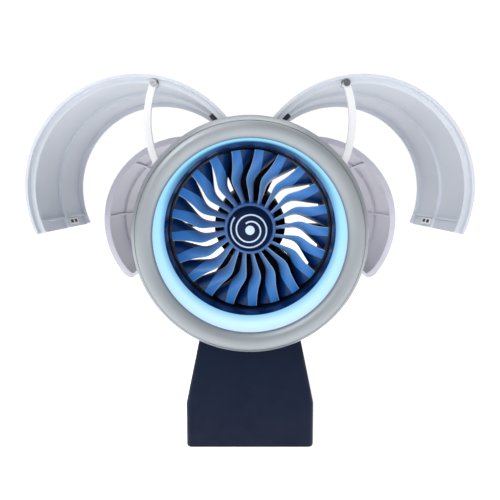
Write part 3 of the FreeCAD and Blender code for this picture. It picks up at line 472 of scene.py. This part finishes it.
def blade_paint_and_painted_light():
    """Blue blade with painted light: a pale leading band of painted highlight, with a crisp border to painted
    shade in deep blue behind it.
    """
    material, tree, shader = new_material("fan_blade_paint_and_painted_light")

    def fact(name):
        return add_node(tree, "ShaderNodeAttribute", attribute_name=name).outputs["Fac"]

    height = fact("height")
    root_to_mid = spread(tree, height, 0.0, 1.0, 0.32, 0.62)
    mid_to_tip = spread(tree, height, 0.0, 1.0, 0.60, 0.98)
    # Painted highlight and painted reflection: the pale band is greyer towards the root and a more saturated blue
    # at the tip.
    painted_lit_band = two_tones(tree, root_to_mid, (0.24, 0.38, 0.68), (0.12, 0.30, 0.66))
    painted_lit_band = two_tones(tree, mid_to_tip, painted_lit_band, (0.022, 0.24, 0.74))
    # Painted shade: the same blue, darkened behind the pale band.
    painted_shade_blue = two_tones(tree, mid_to_tip, (0.001, 0.013, 0.065), (0.001, 0.036, 0.17))
    border = spread(tree, fact("behind_painted_lit_band"), 0.0, 1.0, -0.008, 0.008)
    painted = two_tones(tree, border, painted_lit_band, painted_shade_blue)
    # Painted highlight: a thin pale line along the leading edge.
    edge = spread(tree, fact("from_edge"), 1.0, 0.0, 0.012, 0.03)
    painted = two_tones(tree, edge, painted, (0.36, 0.53, 0.80))
    tree.links.new(painted, shader.inputs["Base Color"])
    gloss = spread(tree, object_noise(tree, 120.0), 0.30, 0.42)
    tree.links.new(gloss, shader.inputs["Roughness"])
    shader.inputs["Coat Weight"].default_value = 0.25
    shader.inputs["Coat Roughness"].default_value = 0.2
    return material


def heat_tinted(name, cool, warm, front, rear):
    """Metallic paint that goes from a cool tone at the front to a warm one at the rear."""
    material, tree, shader = new_material(name)
    depth = scaled_depth(tree, front, rear)
    tree.links.new(two_tones(tree, depth, cool, warm), shader.inputs["Base Color"])
    gloss = spread(tree, object_noise(tree, 60.0, stretch=(1, 6, 1)), 0.30, 0.46)
    tree.links.new(gloss, shader.inputs["Roughness"])
    shader.inputs["Metallic"].default_value = 0.85
    add_bump(tree, shader, object_noise(tree, 1800.0, 3.0, (1, 0.1, 1)), 0.3, 0.00003)
    return material


MATERIALS = {
    "silver_lip": printed_plastic("silver_paint", (0.40, 0.43, 0.455), roughness=0.50, metallic=0.70,
                                  shade=0.95, stretch=(0.15, 1, 0.15)),
    "navy_duct": printed_plastic("navy_duct_paint", (0.003, 0.028, 0.125), roughness=0.3, specular=0.4),
    "light_diffuser": glowing_diffuser(),
    "led_board": printed_plastic("light_strip_board", (0.80, 0.80, 0.76)),
    "black_case": printed_plastic("black_case_plastic", (0.002, 0.003, 0.007), roughness=0.5, specular=0.15),
    "frame_grey": printed_plastic("grey_frame_plastic", (0.13, 0.14, 0.165)),
    "fan_blue": blade_paint_and_painted_light(),
    "spinner_navy": printed_plastic("spinner_navy_paint", (0.0010, 0.010, 0.050), roughness=0.5,
                                    specular=0.2),
    "steel": printed_plastic("turned_steel", (0.50, 0.51, 0.53), roughness=0.3, metallic=1.0),
    "bush_brass": printed_plastic("turned_brass", (0.62, 0.43, 0.16), roughness=0.3, metallic=1.0),
    "core_metal": printed_plastic("core_case_paint", (0.30, 0.295, 0.29), roughness=0.38, metallic=0.7,
                                  stretch=(1, 0.2, 1)),
    "exhaust_metal": heat_tinted("exhaust_paint", (0.30, 0.29, 0.29), (0.20, 0.165, 0.14),
                                 box_of("exhaust_nozzle")[0].y, box_of("exhaust_nozzle")[1].y),
    "fitting_black": printed_plastic("black_fitting_plastic", (0.02, 0.02, 0.024)),
    "tank_white": printed_plastic("tank_plastic", (0.55, 0.55, 0.56)),
    "pylon_grey": printed_plastic("pylon_paint", (0.50, 0.515, 0.57)),
    "hinge_black": printed_plastic("hinge_plastic", (0.020, 0.021, 0.030), roughness=0.34),
    "cowl_white": printed_plastic("cowl_white_plastic", (0.70, 0.735, 0.80), shade=0.95),
    "duct_lilac": printed_plastic("duct_lilac_plastic", (0.76, 0.745, 0.83), shade=0.95),
    "strut_white": printed_plastic("strut_white_plastic", (0.90, 0.90, 0.92), shade=0.97),
    "stand_navy": printed_plastic("stand_navy_plastic", (0.0006, 0.0070, 0.030), roughness=0.5,
                                  specular=0.16),
    "foot_rubber": printed_plastic("foot_rubber", (0.02, 0.02, 0.02), roughness=0.8),
    "board_green": printed_plastic("board_green_lacquer", (0.02, 0.16, 0.06), roughness=0.3),
    "switch_black": printed_plastic("switch_black_plastic", (0.02, 0.02, 0.02), roughness=0.28),
}

SPIRAL_WHITE = printed_plastic("spiral_white_paint", (0.72, 0.82, 0.98), shade=0.98, roughness=0.4)
HUB_BLUE = printed_plastic("hub_ring_blue", (0.075, 0.19, 0.48), shade=0.95, roughness=0.4)
# Painted shade: black standing in for the shade inside the latch's recessed pockets.
POCKET_PAINTED_SHADE = printed_plastic("latch_pocket_black", (0.006, 0.006, 0.008), roughness=0.5)


def dress_cad_nodes():
    for entry in frame["record"]["subparts"]:
        mesh = nodes[entry["node"]].data
        mesh.materials.clear()
        mesh.materials.append(MATERIALS[entry["material_slot"]])


# ---- Intake ----

def lip_outer(inset, start, end, steps=20):
    """Points on the lip's outer quarter ellipse, moved inwards by inset."""
    points = []
    for i in range(steps + 1):
        turn = math.radians(start + (end - start) * i / steps)
        y = lip_low.y + LIP_CROWN_BEHIND - (LIP_CROWN_BEHIND - inset) * math.cos(turn)
        r = THROAT_R + LIP_INNER_DEPTH + (NACELLE_R - THROAT_R - LIP_INNER_DEPTH - inset) * math.sin(turn)
        points.append((y, r))
    return points


def lip_inner(inset, start, end, steps=12):
    """Points on the lip's inner quarter ellipse, moved into the wall by inset."""
    points = []
    for i in range(steps + 1):
        turn = math.radians(start + (end - start) * i / steps)
        y = lip_low.y + LIP_INNER_LENGTH - (LIP_INNER_LENGTH - inset) * math.cos(turn)
        r = THROAT_R + LIP_INNER_DEPTH - (LIP_INNER_DEPTH - inset) * math.sin(turn)
        points.append((y, r))
    return points


def make_intake():
    lip = lip_outer(0, SEAM_ANGLE - SEAM_GROOVE, 0) + lip_inner(0, 0, 90)[1:]
    lip += lip_inner(LIP_WALL, 90, 0) + lip_outer(LIP_WALL, 0, SEAM_ANGLE)[1:]
    lathe("silver_intake_lip", lip, "engine_and_stand", "silver_lip", ["inlet_lip"],
          corner=0, steps=FINE_STEPS)
    rear = cowl_high.y
    cowl = lip_outer(0, SEAM_ANGLE + SEAM_GROOVE, 90) + [(rear, NACELLE_R), (rear, NACELLE_R - LIP_WALL)]
    cowl += lip_outer(LIP_WALL, 90, SEAM_ANGLE)
    lathe("silver_outer_cowl", cowl, "engine_and_stand", "silver_lip", ["inlet_cowl"],
          corner=0, steps=FINE_STEPS)
    ring = ring_strip(light_low.y, light_high.y - light_low.y, THROAT_R, THROAT_R + DUCT_WALL)
    lathe("glowing_diffuser_ring", ring, "engine_and_stand", "light_diffuser", ["light_ring"],
          0.3 * MM, steps=FINE_STEPS)
    liner = ring_strip(liner_low.y, liner_high.y - liner_low.y, THROAT_R, THROAT_R + DUCT_WALL)
    lathe("navy_duct_liner", liner, "engine_and_stand", "navy_duct", ["intake_liner"],
          0.3 * MM, steps=FINE_STEPS)


# ---- Fan ----

# Height share of the tip radius, then the leading and trailing edges' angles from the blade's own
# line, the axial chord and the thickness in millimetres, and the chord share of the pale band of painted
# highlight.
BLADE_STATIONS = (
    (0.30, 0.5, 6.5, 15.0, 1.9, 1.10),
    (0.47, -2.4, 5.0, 15.0, 1.7, 1.10),
    (0.625, -3.7, 6.6, 14.5, 1.5, 1.02),
    (0.79, 1.2, 16.0, 13.0, 1.3, 0.55),
    (0.92, 3.4, 21.2, 11.0, 1.1, 0.34),
    (1.05, 4.2, 24.2, 9.5, 1.0, 0.27),
)


def blade_facts(share):
    """The station facts at any height, by a smooth curve through the stations."""
    shares = [station[0] for station in BLADE_STATIONS]
    k = max(i for i in range(len(shares) - 1) if shares[i] <= share + 1e-9)
    span = shares[k + 1] - shares[k]
    t = (share - shares[k]) / span
    facts = []
    for column in range(1, 6):
        values = [station[column] for station in BLADE_STATIONS]
        slopes = []
        for i in (k, k + 1):
            before = max(i - 1, 0)
            after = min(i + 1, len(shares) - 1)
            slopes.append((values[after] - values[before]) / (shares[after] - shares[before]) * span)
        a, b = values[k], values[k + 1]
        facts.append((2 * t ** 3 - 3 * t ** 2 + 1) * a + (t ** 3 - 2 * t ** 2 + t) * slopes[0]
                     + (3 * t ** 2 - 2 * t ** 3) * b + (t ** 3 - t ** 2) * slopes[1])
    return facts


def blade_point(share, s, side):
    """A point on one face of the blade (side -1, 0 or 1), about z = 0, and how far it lies behind the pale band of
    painted highlight.
    """
    lead, trail, chord, thickness, painted_lit_band = blade_facts(share)
    z = share * BLADE_TIP_R
    x0 = z * math.tan(math.radians(lead))
    x1 = z * math.tan(math.radians(trail))
    length = math.hypot(x1 - x0, chord * MM)
    along = Vector(((x1 - x0) / length, chord * MM / length))
    across = Vector((along.y, -along.x))
    bow = 4 * BLADE_CAMBER * length * s * (1 - s)
    fat = thickness * MM * math.sqrt(max(math.sin(math.pi * s), 0)) / 2
    flat = Vector((x0, rotor_low.y + BLADE_FRONT)) + along * (s * length) + across * (bow + side * fat)
    return Vector((flat.x, flat.y, z)), s - painted_lit_band


def tip_share(s):
    """Height at which the blade meets the tip circle, for one place along the chord."""
    low, high = 0.9, 1.04
    for _halving in range(18):
        middle = (low + high) / 2
        point, _fact = blade_point(middle, s, 0)
        if math.hypot(point.x, point.z) < BLADE_TIP_R:
            low = middle
        else:
            high = middle
    return low


def make_blades():
    bm = bmesh.new()
    height = bm.verts.layers.float.new("height")
    # How far each point lies behind the pale band; the band is painted highlight and what lies behind it painted
    # shade.
    behind_painted_lit_band = bm.verts.layers.float.new("behind_painted_lit_band")
    from_edge = bm.verts.layers.float.new("from_edge")
    chord_steps, height_steps = 28, 36
    root = BLADE_STATIONS[0][0]
    loops = []
    stops = [(1 - math.cos(math.pi * i / chord_steps)) / 2 for i in range(chord_steps + 1)]
    tips = [tip_share(s) for s in stops]
    for j in range(height_steps + 1):
        loop = []
        ways = [(i, 1) for i in range(chord_steps)] + [(i, -1) for i in range(chord_steps, 0, -1)]
        for i, side in ways:
            share = root + (tips[i] - root) * j / height_steps
            point, fact = blade_point(share, stops[i], 0 if i in (0, chord_steps) else side)
            vert = bm.verts.new(point)
            vert[height] = share
            vert[behind_painted_lit_band] = fact
            vert[from_edge] = stops[i] if i else 0.0
            loop.append(vert)
        loops.append(loop)
    count = len(loops[0])
    for j in range(height_steps):
        for i in range(count):
            k = (i + 1) % count
            bm.faces.new((loops[j][i], loops[j][k], loops[j + 1][k], loops[j + 1][i]))
    bm.faces.new(loops[0])
    bm.faces.new(loops[-1])
    ring_piece("fan_blades", bm, BLADE_COUNT, BLADE_PHASE, "fan", "fan_blue", ["fan_rotor"], crease=50)
    front, rear = rotor_low.y, rotor_high.y
    hub = [(front, SPINNER_R - 4 * MM), (front, HUB_R), (rear, HUB_REAR_R), (rear, HUB_REAR_R - 3 * MM),
           (front + 6 * MM, SPINNER_R - 4 * MM)]
    lathe("fan_hub_ring", hub, "fan", "fan_blue", ["fan_rotor"], 0.5 * MM, material=HUB_BLUE)


def spinner_surface(radius, lift=0.0):
    """The (y, r) place on the spinner's dome at a radius, lifted off it."""
    length = spinner_high.y - spinner_low.y
    share = min(radius / SPINNER_R, 1.0)
    y = spinner_high.y - length * math.sqrt(1 - share ** 2)
    slope = Vector((-math.sqrt(max(1 - share ** 2, 0)) / length, share / SPINNER_R)).normalized()
    return y + slope.x * lift, radius + slope.y * lift


DOT_R = 4.3 * MM
PAINT_LIFT = 0.12 * MM           # of the white paint above the dome
PAINT_DEPTH = 0.5 * MM           # of the dot's underside, sunk into the dome
SPIRAL_DEPTH = 0.4 * MM
SPIRAL_TURNS = 1.95
SPIRAL_START_ANGLE = -33.0
SPIRAL_START_R = 7.1 * MM
SPIRAL_END_R = 18.4 * MM
SPIRAL_HALF_WIDTH = 0.72 * MM
SPIRAL_EASING = 0.85             # below 1 the inner turn opens faster than the outer one
SPIRAL_STEPS = 220


def make_spinner_dome():
    steps = 28
    length = spinner_high.y - spinner_low.y
    outside = [(spinner_low.y, 0)]
    for i in range(1, steps + 1):
        turn = math.pi / 2 * i / steps
        outside.append((spinner_high.y - length * math.cos(turn), SPINNER_R * math.sin(turn)))
    back = [(spinner_high.y, SPINNER_R - 1.8 * MM), (spinner_high.y - 4 * MM, SPINNER_R - 3 * MM),
            (spinner_high.y - 6 * MM, 0)]
    lathe("navy_spinner", outside + back, "fan", "spinner_navy", ["spinner"], corner=0, steps=128)


def make_spinner_dot():
    dot = [(spinner_surface(0, PAINT_LIFT)[0], 0)]
    dot += [spinner_surface(DOT_R * i / 8, PAINT_LIFT) for i in range(1, 9)]
    dot += [spinner_surface(DOT_R, -PAINT_DEPTH), (spinner_surface(0, -PAINT_DEPTH)[0], 0)]
    lathe("spinner_white_dot", dot, "fan", "spinner_navy", corner=0, steps=64, material=SPIRAL_WHITE)


def make_spinner_spiral():
    bm = bmesh.new()
    rows = []
    for i in range(SPIRAL_STEPS + 1):
        t = i / SPIRAL_STEPS
        radius = SPIRAL_START_R + (SPIRAL_END_R - SPIRAL_START_R) * t ** SPIRAL_EASING
        angle = SPIRAL_START_ANGLE + 360 * SPIRAL_TURNS * t
        row = []
        for edge, height in ((-1, -SPIRAL_DEPTH), (-1, PAINT_LIFT), (1, PAINT_LIFT), (1, -SPIRAL_DEPTH)):
            y, r = spinner_surface(radius + edge * SPIRAL_HALF_WIDTH, height)
            row.append(bm.verts.new(on_circle(r, angle, y)))
        rows.append(row)
    for a, b in zip(rows, rows[1:]):
        for j in range(4):
            bm.faces.new((a[j], a[(j + 1) % 4], b[(j + 1) % 4], b[j]))
    bm.faces.new(rows[0])
    bm.faces.new(rows[-1])
    mesh_piece("spinner_white_spiral", bm, "fan", "spinner_navy", material=SPIRAL_WHITE)


def make_fan_case():
    inner = BLADE_TIP_R + TIP_GAP
    outer = inner + CASE_WALL
    front, rear = case_low.y, case_high.y
    middle = (front + rear) / 2
    case = [(front, inner), (rear, inner), (rear, FAN_CASE_FLANGE_R), (rear - FLANGE_T, FAN_CASE_FLANGE_R),
            (rear - FLANGE_T, outer), (middle + MM, outer), (middle + MM, outer + 1.2 * MM),
            (middle - MM, outer + 1.2 * MM), (middle - MM, outer), (front + FLANGE_T, outer),
            (front + FLANGE_T, FAN_CASE_FLANGE_R), (front, FAN_CASE_FLANGE_R)]
    lathe("black_fan_case", case, "engine_and_stand", "black_case", ["fan_case"], 0.25 * MM)
    bolt_circle = (outer + FAN_CASE_FLANGE_R) / 2
    bm = bmesh.new()
    for start, end in ((rear - FLANGE_T, -0.8 * MM), (rear + FLANGE_T, 0.8 * MM)):
        add_rod(bm, (0, start, bolt_circle), (0, start + end, bolt_circle), 0.9 * MM, sides=6)
    ring_piece("fan_case_hex_bolts", bm, CASE_BOLT_COUNT, 0.0, "engine_and_stand", "steel", ["case_bolts"])


# ---- Fan cowl doors ----

def door_profile():
    front, rear = door_low.y, door_high.y
    inner = NACELLE_R - SKIN
    low = inner - DOOR_FLANGE_DEPTH
    flange = strut_high.y + 0.1 * MM
    rib = front + DOOR_RIB_BEHIND
    rib_low = inner - DOOR_RIB_DEPTH
    return [(front, NACELLE_R), (rear, NACELLE_R), (rear, low), (rear - DOOR_FLANGE_T, low),
            (rear - DOOR_FLANGE_T, inner), (rib + DOOR_RIB_T, inner), (rib + DOOR_RIB_T, rib_low),
            (rib, rib_low), (rib, inner), (flange + DOOR_FLANGE_T, inner), (flange + DOOR_FLANGE_T, low),
            (flange, low), (flange, inner), (front, inner)]


def add_fan_cowl(bm):
    add_sweep(bm, rounded(door_profile(), 0.5 * MM), DOOR_TOP, DOOR_BOTTOM - DOOR_TOP, 144)
    inner = NACELLE_R - SKIN
    flange = strut_high.y + 0.1 * MM
    bar = ring_strip(flange + MM, door_high.y - flange - 2 * MM, inner - STIFFENER_DEPTH, inner + 0.5 * MM)
    for start in (DOOR_BOTTOM - 7.0, DOOR_TOP + 10.5):
        add_sweep(bm, rounded(bar, 0.3 * MM), start, STIFFENER_SPAN, 2)
    pivot = on_circle(STRUT_ARC_R, STRUT_START, 0)
    add_rod(bm, (pivot.x, flange, pivot.z), (pivot.x, flange + DOOR_FLANGE_T, pivot.z), 4.2 * MM, 32)


LATCH_WIDTH = 6.6 * MM
LATCH_EDGE_GAP = 2.5 * MM        # from the door's lower edge
LATCH_DEPTH = 2.4 * MM
POCKET_LENGTH = 5.0 * MM
POCKET_WIDTH = 3.4 * MM
POCKET_PITCH = 7.4 * MM


def latch_middle():
    """The plate's half width and middle, as angles round the engine axis."""
    inner = NACELLE_R - SKIN
    half = math.degrees(LATCH_WIDTH / 2 / inner)
    return half, DOOR_BOTTOM - math.degrees(LATCH_EDGE_GAP / inner) - half


def add_latch_plate(bm):
    half, middle = latch_middle()
    top = NACELLE_R - SKIN
    strip = ring_strip(latch_low.y, latch_high.y - latch_low.y, top - LATCH_DEPTH, top)
    add_sweep(bm, rounded(strip, 0.5 * MM), middle - half, 2 * half, 6)


# Thin black slabs on the latch plate's face: painted shade in place of two recessed pockets.
def add_latch_pockets(bm):
    half, middle = latch_middle()
    face = NACELLE_R - SKIN - LATCH_DEPTH
    pocket_half = math.degrees(POCKET_WIDTH / 2 / face)
    centre_y = (latch_low.y + latch_high.y) / 2
    for side in (-0.5, 0.5):
        front = centre_y - POCKET_LENGTH / 2 + side * POCKET_PITCH
        strip = ring_strip(front, POCKET_LENGTH, face - 0.06 * MM, face + 0.4 * MM)
        add_sweep(bm, strip, middle - pocket_half, 2 * pocket_half, 4)


def make_fan_cowls():
    both_sides(add_fan_cowl, "fan_cowl_door", COWL_HINGE, COWL_OPEN, "cowl_door", "cowl_white", "fan_cowl")
    both_sides(add_latch_plate, "latch_plate", COWL_HINGE, COWL_OPEN, "cowl_door", "strut_white",
               "cowl_latch")
    # The pockets are painted shade, drawn as black slabs.
    both_sides(add_latch_pockets, "latch_pocket", COWL_HINGE, COWL_OPEN, "cowl_door", "strut_white",
               material=POCKET_PAINTED_SHADE)


# ---- Hold-open struts ----

def add_strut(bm):
    """A flat bowed bar with round ends, drawn stowed and then leaned about its screw."""
    half = STRUT_WIDTH / 2
    front, rear = strut_low.y, strut_high.y
    pivot = on_circle(STRUT_ARC_R, STRUT_START, 0)
    tail = on_circle(STRUT_ARC_R, STRUT_START + STRUT_SPAN, 0)
    bar = ring_strip(front, rear - front, STRUT_ARC_R - half, STRUT_ARC_R + half)
    add_sweep(bm, rounded(bar, 0.35 * MM), STRUT_START, STRUT_SPAN, 64)
    for end in (pivot, tail):
        add_rod(bm, (end.x, front, end.z), (end.x, rear, end.z), half, 40)
    turn_about(bm, pivot, COWL_OPEN + STRUT_LEAN)


def make_struts():
    both_sides(add_strut, "hold_open_bar", COWL_HINGE, COWL_OPEN, "strut", "strut_white",
               "hold_open_strut")


# ---- Rear half-shells ----

def duct_outside(y):
    share = max(0.0, (y - duct_low.y - DUCT_STRAIGHT) / (duct_high.y - duct_low.y - DUCT_STRAIGHT))
    return NACELLE_R - DUCT_STEP - DUCT_REAR_DROP * share ** 1.74


def duct_curve(start, end, inset, steps=14):
    return [(start + (end - start) * i / steps, duct_outside(start + (end - start) * i / steps) - inset)
            for i in range(steps + 1)]


def duct_profile():
    front, rear = duct_low.y, duct_high.y
    rib = front + DUCT_RIB_BEHIND
    depth = SKIN + DOOR_RIB_DEPTH
    outline = duct_curve(front, rear, 0, 20)
    tail = rear - DOOR_RIB_T
    outline += [(rear, duct_outside(rear) - depth), (tail, duct_outside(tail) - depth)]
    outline += duct_curve(tail, rib + DOOR_RIB_T, SKIN, 8)
    outline += [(rib + DOOR_RIB_T, duct_outside(rib) - depth), (rib, duct_outside(rib) - depth)]
    outline += duct_curve(rib, front + DOOR_FLANGE_T, SKIN, 6)
    low = duct_outside(front) - SKIN - DOOR_FLANGE_DEPTH
    return outline + [(front + DOOR_FLANGE_T, low), (front, low)]


def duct_layer(outer, inner):
    front, rear = duct_low.y + 0.5 * MM, duct_high.y - 0.5 * MM
    return duct_curve(front, rear, outer) + duct_curve(rear, front, inner)


def round_duct_corner(bm):
    """Draws the half-shell's lower front corner back to a round one."""
    for vert in bm.verts:
        x, z = vert.co.x, vert.co.z - AXIS_Z
        angle = math.degrees(math.atan2(x, z)) % 360
        arc = math.radians(DUCT_BOTTOM - angle) * math.hypot(x, z)
        if angle < 90 or arc > DUCT_CORNER_R:
            continue
        back = DUCT_CORNER_R - math.sqrt(max(DUCT_CORNER_R ** 2 - (DUCT_CORNER_R - arc) ** 2, 0))
        vert.co.y = max(vert.co.y, duct_low.y + back)


def add_c_duct(bm):
    add_sweep(bm, rounded(duct_profile(), 0.5 * MM), DUCT_TOP, DUCT_BOTTOM - DUCT_TOP, 154)
    for angle in DUCT_RIB_ANGLES:
        add_sweep(bm, duct_layer(SKIN - 0.5 * MM, SKIN + DOOR_RIB_DEPTH), angle, DUCT_RIB_SPAN, 2)
    keel = duct_layer(SKIN - 0.5 * MM, SKIN + 2 * DOOR_FLANGE_DEPTH)
    add_sweep(bm, keel, DUCT_BOTTOM - DUCT_KEEL_SPAN, DUCT_KEEL_SPAN - 0.05, 3)
    round_duct_corner(bm)


def make_c_ducts():
    both_sides(add_c_duct, "rear_half_shell", DUCT_HINGE, DUCT_OPEN, "duct_door", "duct_lilac", "c_duct")


# ---- Core ----

def case_outline(node, front_r, rear_r, shares):
    """A conical case whose end flanges and ribs stand out of it."""
    low, high = box_of(node)
    length = high.y - low.y

    def radius(y):
        return front_r + (rear_r - front_r) * (y - low.y) / length

    outline = []
    for share in (0.0, *shares, 1.0):
        y = low.y + share * (length - CASE_RIB_T)
        top = front_r + (rear_r - front_r) * share + CASE_RIB_HEIGHT
        behind = y + CASE_RIB_T
        outline += [(y, radius(y)), (y, top), (behind, top), (behind, radius(behind))]
    outline = outline[1:-1]
    return outline + [(high.y, rear_r - CORE_WALL), (low.y, front_r - CORE_WALL)]


def make_core_cases():
    for node, slot, front_r, rear_r, shares in (
        ("compressor_case", "frame_grey", CORE_FRONT_R, COMPRESSOR_REAR_R, (0.2, 0.4, 0.6, 0.8)),
        ("combustor_case", "core_metal", COMPRESSOR_REAR_R, COMBUSTOR_REAR_R, (0.5,)),
        ("turbine_case", "core_metal", COMBUSTOR_REAR_R, TURBINE_REAR_R, (0.25, 0.5, 0.75)),
    ):
        outline = case_outline(node, front_r, rear_r, shares)
        lathe("turned_" + node, outline, "engine_and_stand", slot, [node], 0.3 * MM)


def make_exhaust():
    low, high = box_of("exhaust_nozzle")
    curve = []
    for i in range(17):
        t = i / 16
        curve.append((low.y + t * (high.y - low.y),
                      TURBINE_REAR_R + (NOZZLE_EXIT_R - TURBINE_REAR_R) * (0.18 * t + 0.82 * t * t)))
    nozzle = curve + [(y, r - NOZZLE_WALL) for y, r in reversed(curve)]
    lathe("spun_exhaust_nozzle", nozzle, "engine_and_stand", "exhaust_metal", ["exhaust_nozzle"], corner=0)
    low, high = box_of("exhaust_cone")
    cone = [(low.y + t / 16 * (high.y - low.y), PLUG_R - (PLUG_R - PLUG_TIP_R) * (t / 16) ** 2)
            for t in range(17)]
    lathe("spun_exhaust_cone", [(low.y, 0)] + cone + [(high.y, 0)], "engine_and_stand", "exhaust_metal",
          ["exhaust_cone"], corner=0)


def make_core_bolts():
    flange_bolts = (
        ("compressor_front", box_of("compressor_case")[0].y + CASE_RIB_T, CORE_FRONT_R, 20),
        ("combustor_front", box_of("combustor_case")[0].y + CASE_RIB_T, COMPRESSOR_REAR_R, 16),
        ("turbine_front", box_of("turbine_case")[0].y + CASE_RIB_T, COMBUSTOR_REAR_R, 18),
    )
    for name, y, r, count in flange_bolts:
        bm = bmesh.new()
        bolt_circle = r + CASE_RIB_HEIGHT * 0.6
        add_rod(bm, (0, y - 0.2 * MM, bolt_circle), (0, y + 0.9 * MM, bolt_circle), 0.75 * MM, sides=6)
        ring_piece(name + "_bolts", bm, count, 9.0, "engine_and_stand", "steel")


# ---- Pieces softened from their CAD form ----

def soften(node, width, body, slot):
    """A copy of a CAD piece with its doubled points merged and its hard edges rounded."""
    bm = bmesh.new()
    bm.from_mesh(nodes[node].data)
    bmesh.ops.remove_doubles(bm, verts=bm.verts, dist=1e-6)
    bmesh.ops.dissolve_limit(bm, angle_limit=math.radians(0.4), verts=bm.verts, edges=bm.edges)
    sharp = [edge for edge in bm.edges
             if len(edge.link_faces) == 2 and edge.calc_face_angle(0) > math.radians(40)]
    if width:
        bmesh.ops.bevel(bm, geom=sharp, offset=width, segments=2, profile=0.5, affect="EDGES",
                        clamp_overlap=True)
    bmesh.ops.triangulate(bm, faces=[face for face in bm.faces if len(face.verts) > 4])
    for face in bm.faces:
        face.smooth = True
    for edge in bm.edges:
        if len(edge.link_faces) == 2:
            edge.smooth = edge.calc_face_angle(0) < math.radians(32)
    mesh = bpy.data.meshes.new("soft_" + node)
    bm.to_mesh(mesh)
    bm.free()
    finish_piece("soft_" + node, mesh, body, MATERIALS[slot], [node])


def make_softened():
    for node, width, slot in (
        ("stand_body", 0.5 * MM, "stand_navy"),
        ("pylon_fairing", 0.4 * MM, "pylon_grey"),
        ("fan_frame", 0.0, "black_case"),
        ("inlet_bulkhead", 0.0, "black_case"),
        ("accessory_gearbox", 0.5 * MM, "fitting_black"),
        ("pylon_beam", 0.4 * MM, "pylon_grey"),
        ("turbine_rear_frame", 0.0, "core_metal"),
    ):
        soften(node, width, "engine_and_stand", slot)
    for side in ("right", "left"):
        soften("cowl_hinges_" + side, 0.5 * MM, "cowl_door_" + side, "hinge_black")


# ---- Floor, lights and camera ----

def make_floor():
    bpy.ops.mesh.primitive_plane_add(size=12, location=(0, 0, -0.0004))
    floor = bpy.context.object
    floor.name = "pale_floor"
    material, tree, shader = new_material("pale_floor_paint")
    shader.inputs["Base Color"].default_value = (0.90, 0.90, 0.91, 1)
    shader.inputs["Roughness"].default_value = 0.7
    shader.inputs["Emission Color"].default_value = (1, 1, 1, 1)
    shader.inputs["Emission Strength"].default_value = 0.80
    floor.data.materials.append(material)


def soft_light(name, place, aim, size, power, colour=(1, 1, 1)):
    data = bpy.data.lights.new(name, "AREA")
    data.shape = "RECTANGLE"
    data.size, data.size_y = size
    data.energy = power
    data.color = colour
    lamp = bpy.data.objects.new(name, data)
    bpy.context.scene.collection.objects.link(lamp)
    lamp.location = place
    lamp.rotation_euler = (Vector(aim) - Vector(place)).to_track_quat("-Z", "Y").to_euler()


def make_lights():
    centre = (0, 0, AXIS_Z)
    soft_light("key_light", (-0.7, -1.0, 1.1), centre, (1.0, 0.8), 9.5)
    soft_light("fill_light", (1.1, -0.8, 0.5), centre, (0.9, 0.9), 1.6)
    soft_light("top_light", (0, 0.2, 1.4), centre, (1.4, 1.0), 7.0)
    soft_light("back_light", (0.2, 1.6, 0.7), centre, (1.2, 0.8), 1.6)
    world = bpy.data.worlds.new("studio")
    bpy.context.scene.world = world
    world.use_nodes = True
    tree = world.node_tree
    background = tree.nodes["Background"]
    sky = add_node(tree, "ShaderNodeTexCoord")
    split = add_node(tree, "ShaderNodeSeparateXYZ")
    tree.links.new(sky.outputs["Generated"], split.inputs["Vector"])
    ahead = spread(tree, split.outputs["Y"], 0.0, 1.0, -1.0, 0.1)
    tree.links.new(two_tones(tree, ahead, (0.42, 0.46, 0.50), (1.0, 1.0, 1.0)), background.inputs["Color"])
    background.inputs["Strength"].default_value = 0.38
    backdrop = tree.nodes.new("ShaderNodeBackground")
    backdrop.inputs["Color"].default_value = (1, 1, 1, 1)
    backdrop.inputs["Strength"].default_value = 1.02
    rays = tree.nodes.new("ShaderNodeLightPath")
    choice = tree.nodes.new("ShaderNodeMixShader")
    tree.links.new(rays.outputs["Is Camera Ray"], choice.inputs[0])
    tree.links.new(background.outputs[0], choice.inputs[1])
    tree.links.new(backdrop.outputs[0], choice.inputs[2])
    tree.links.new(choice.outputs[0], tree.nodes["World Output"].inputs["Surface"])


CAMERA_LENS = 24.24
CAMERA_AHEAD = 262.1 * MM     # in front of the lip
CAMERA_ABOVE = 37.3 * MM      # above the engine axis
CAMERA_PITCH = 3.0
CAMERA_SHIFT = -0.085


def make_camera():
    data = bpy.data.cameras.new("camera")
    data.lens = CAMERA_LENS
    data.shift_y = CAMERA_SHIFT
    data.clip_start = 0.01
    camera = bpy.data.objects.new("camera", data)
    bpy.context.scene.collection.objects.link(camera)
    camera.location = (0, lip_low.y - CAMERA_AHEAD, AXIS_Z + CAMERA_ABOVE)
    camera.rotation_euler = (math.radians(90 - CAMERA_PITCH), 0, 0)
    bpy.context.scene.camera = camera
    bpy.context.scene.view_settings.view_transform = "Standard"


make_floor()
make_lights()
make_camera()
dress_cad_nodes()
make_intake()
make_blades()
make_spinner_dome()
make_spinner_dot()
make_spinner_spiral()
make_fan_case()
make_fan_cowls()
make_struts()
make_c_ducts()
make_core_cases()
make_exhaust()
make_core_bolts()
make_softened()
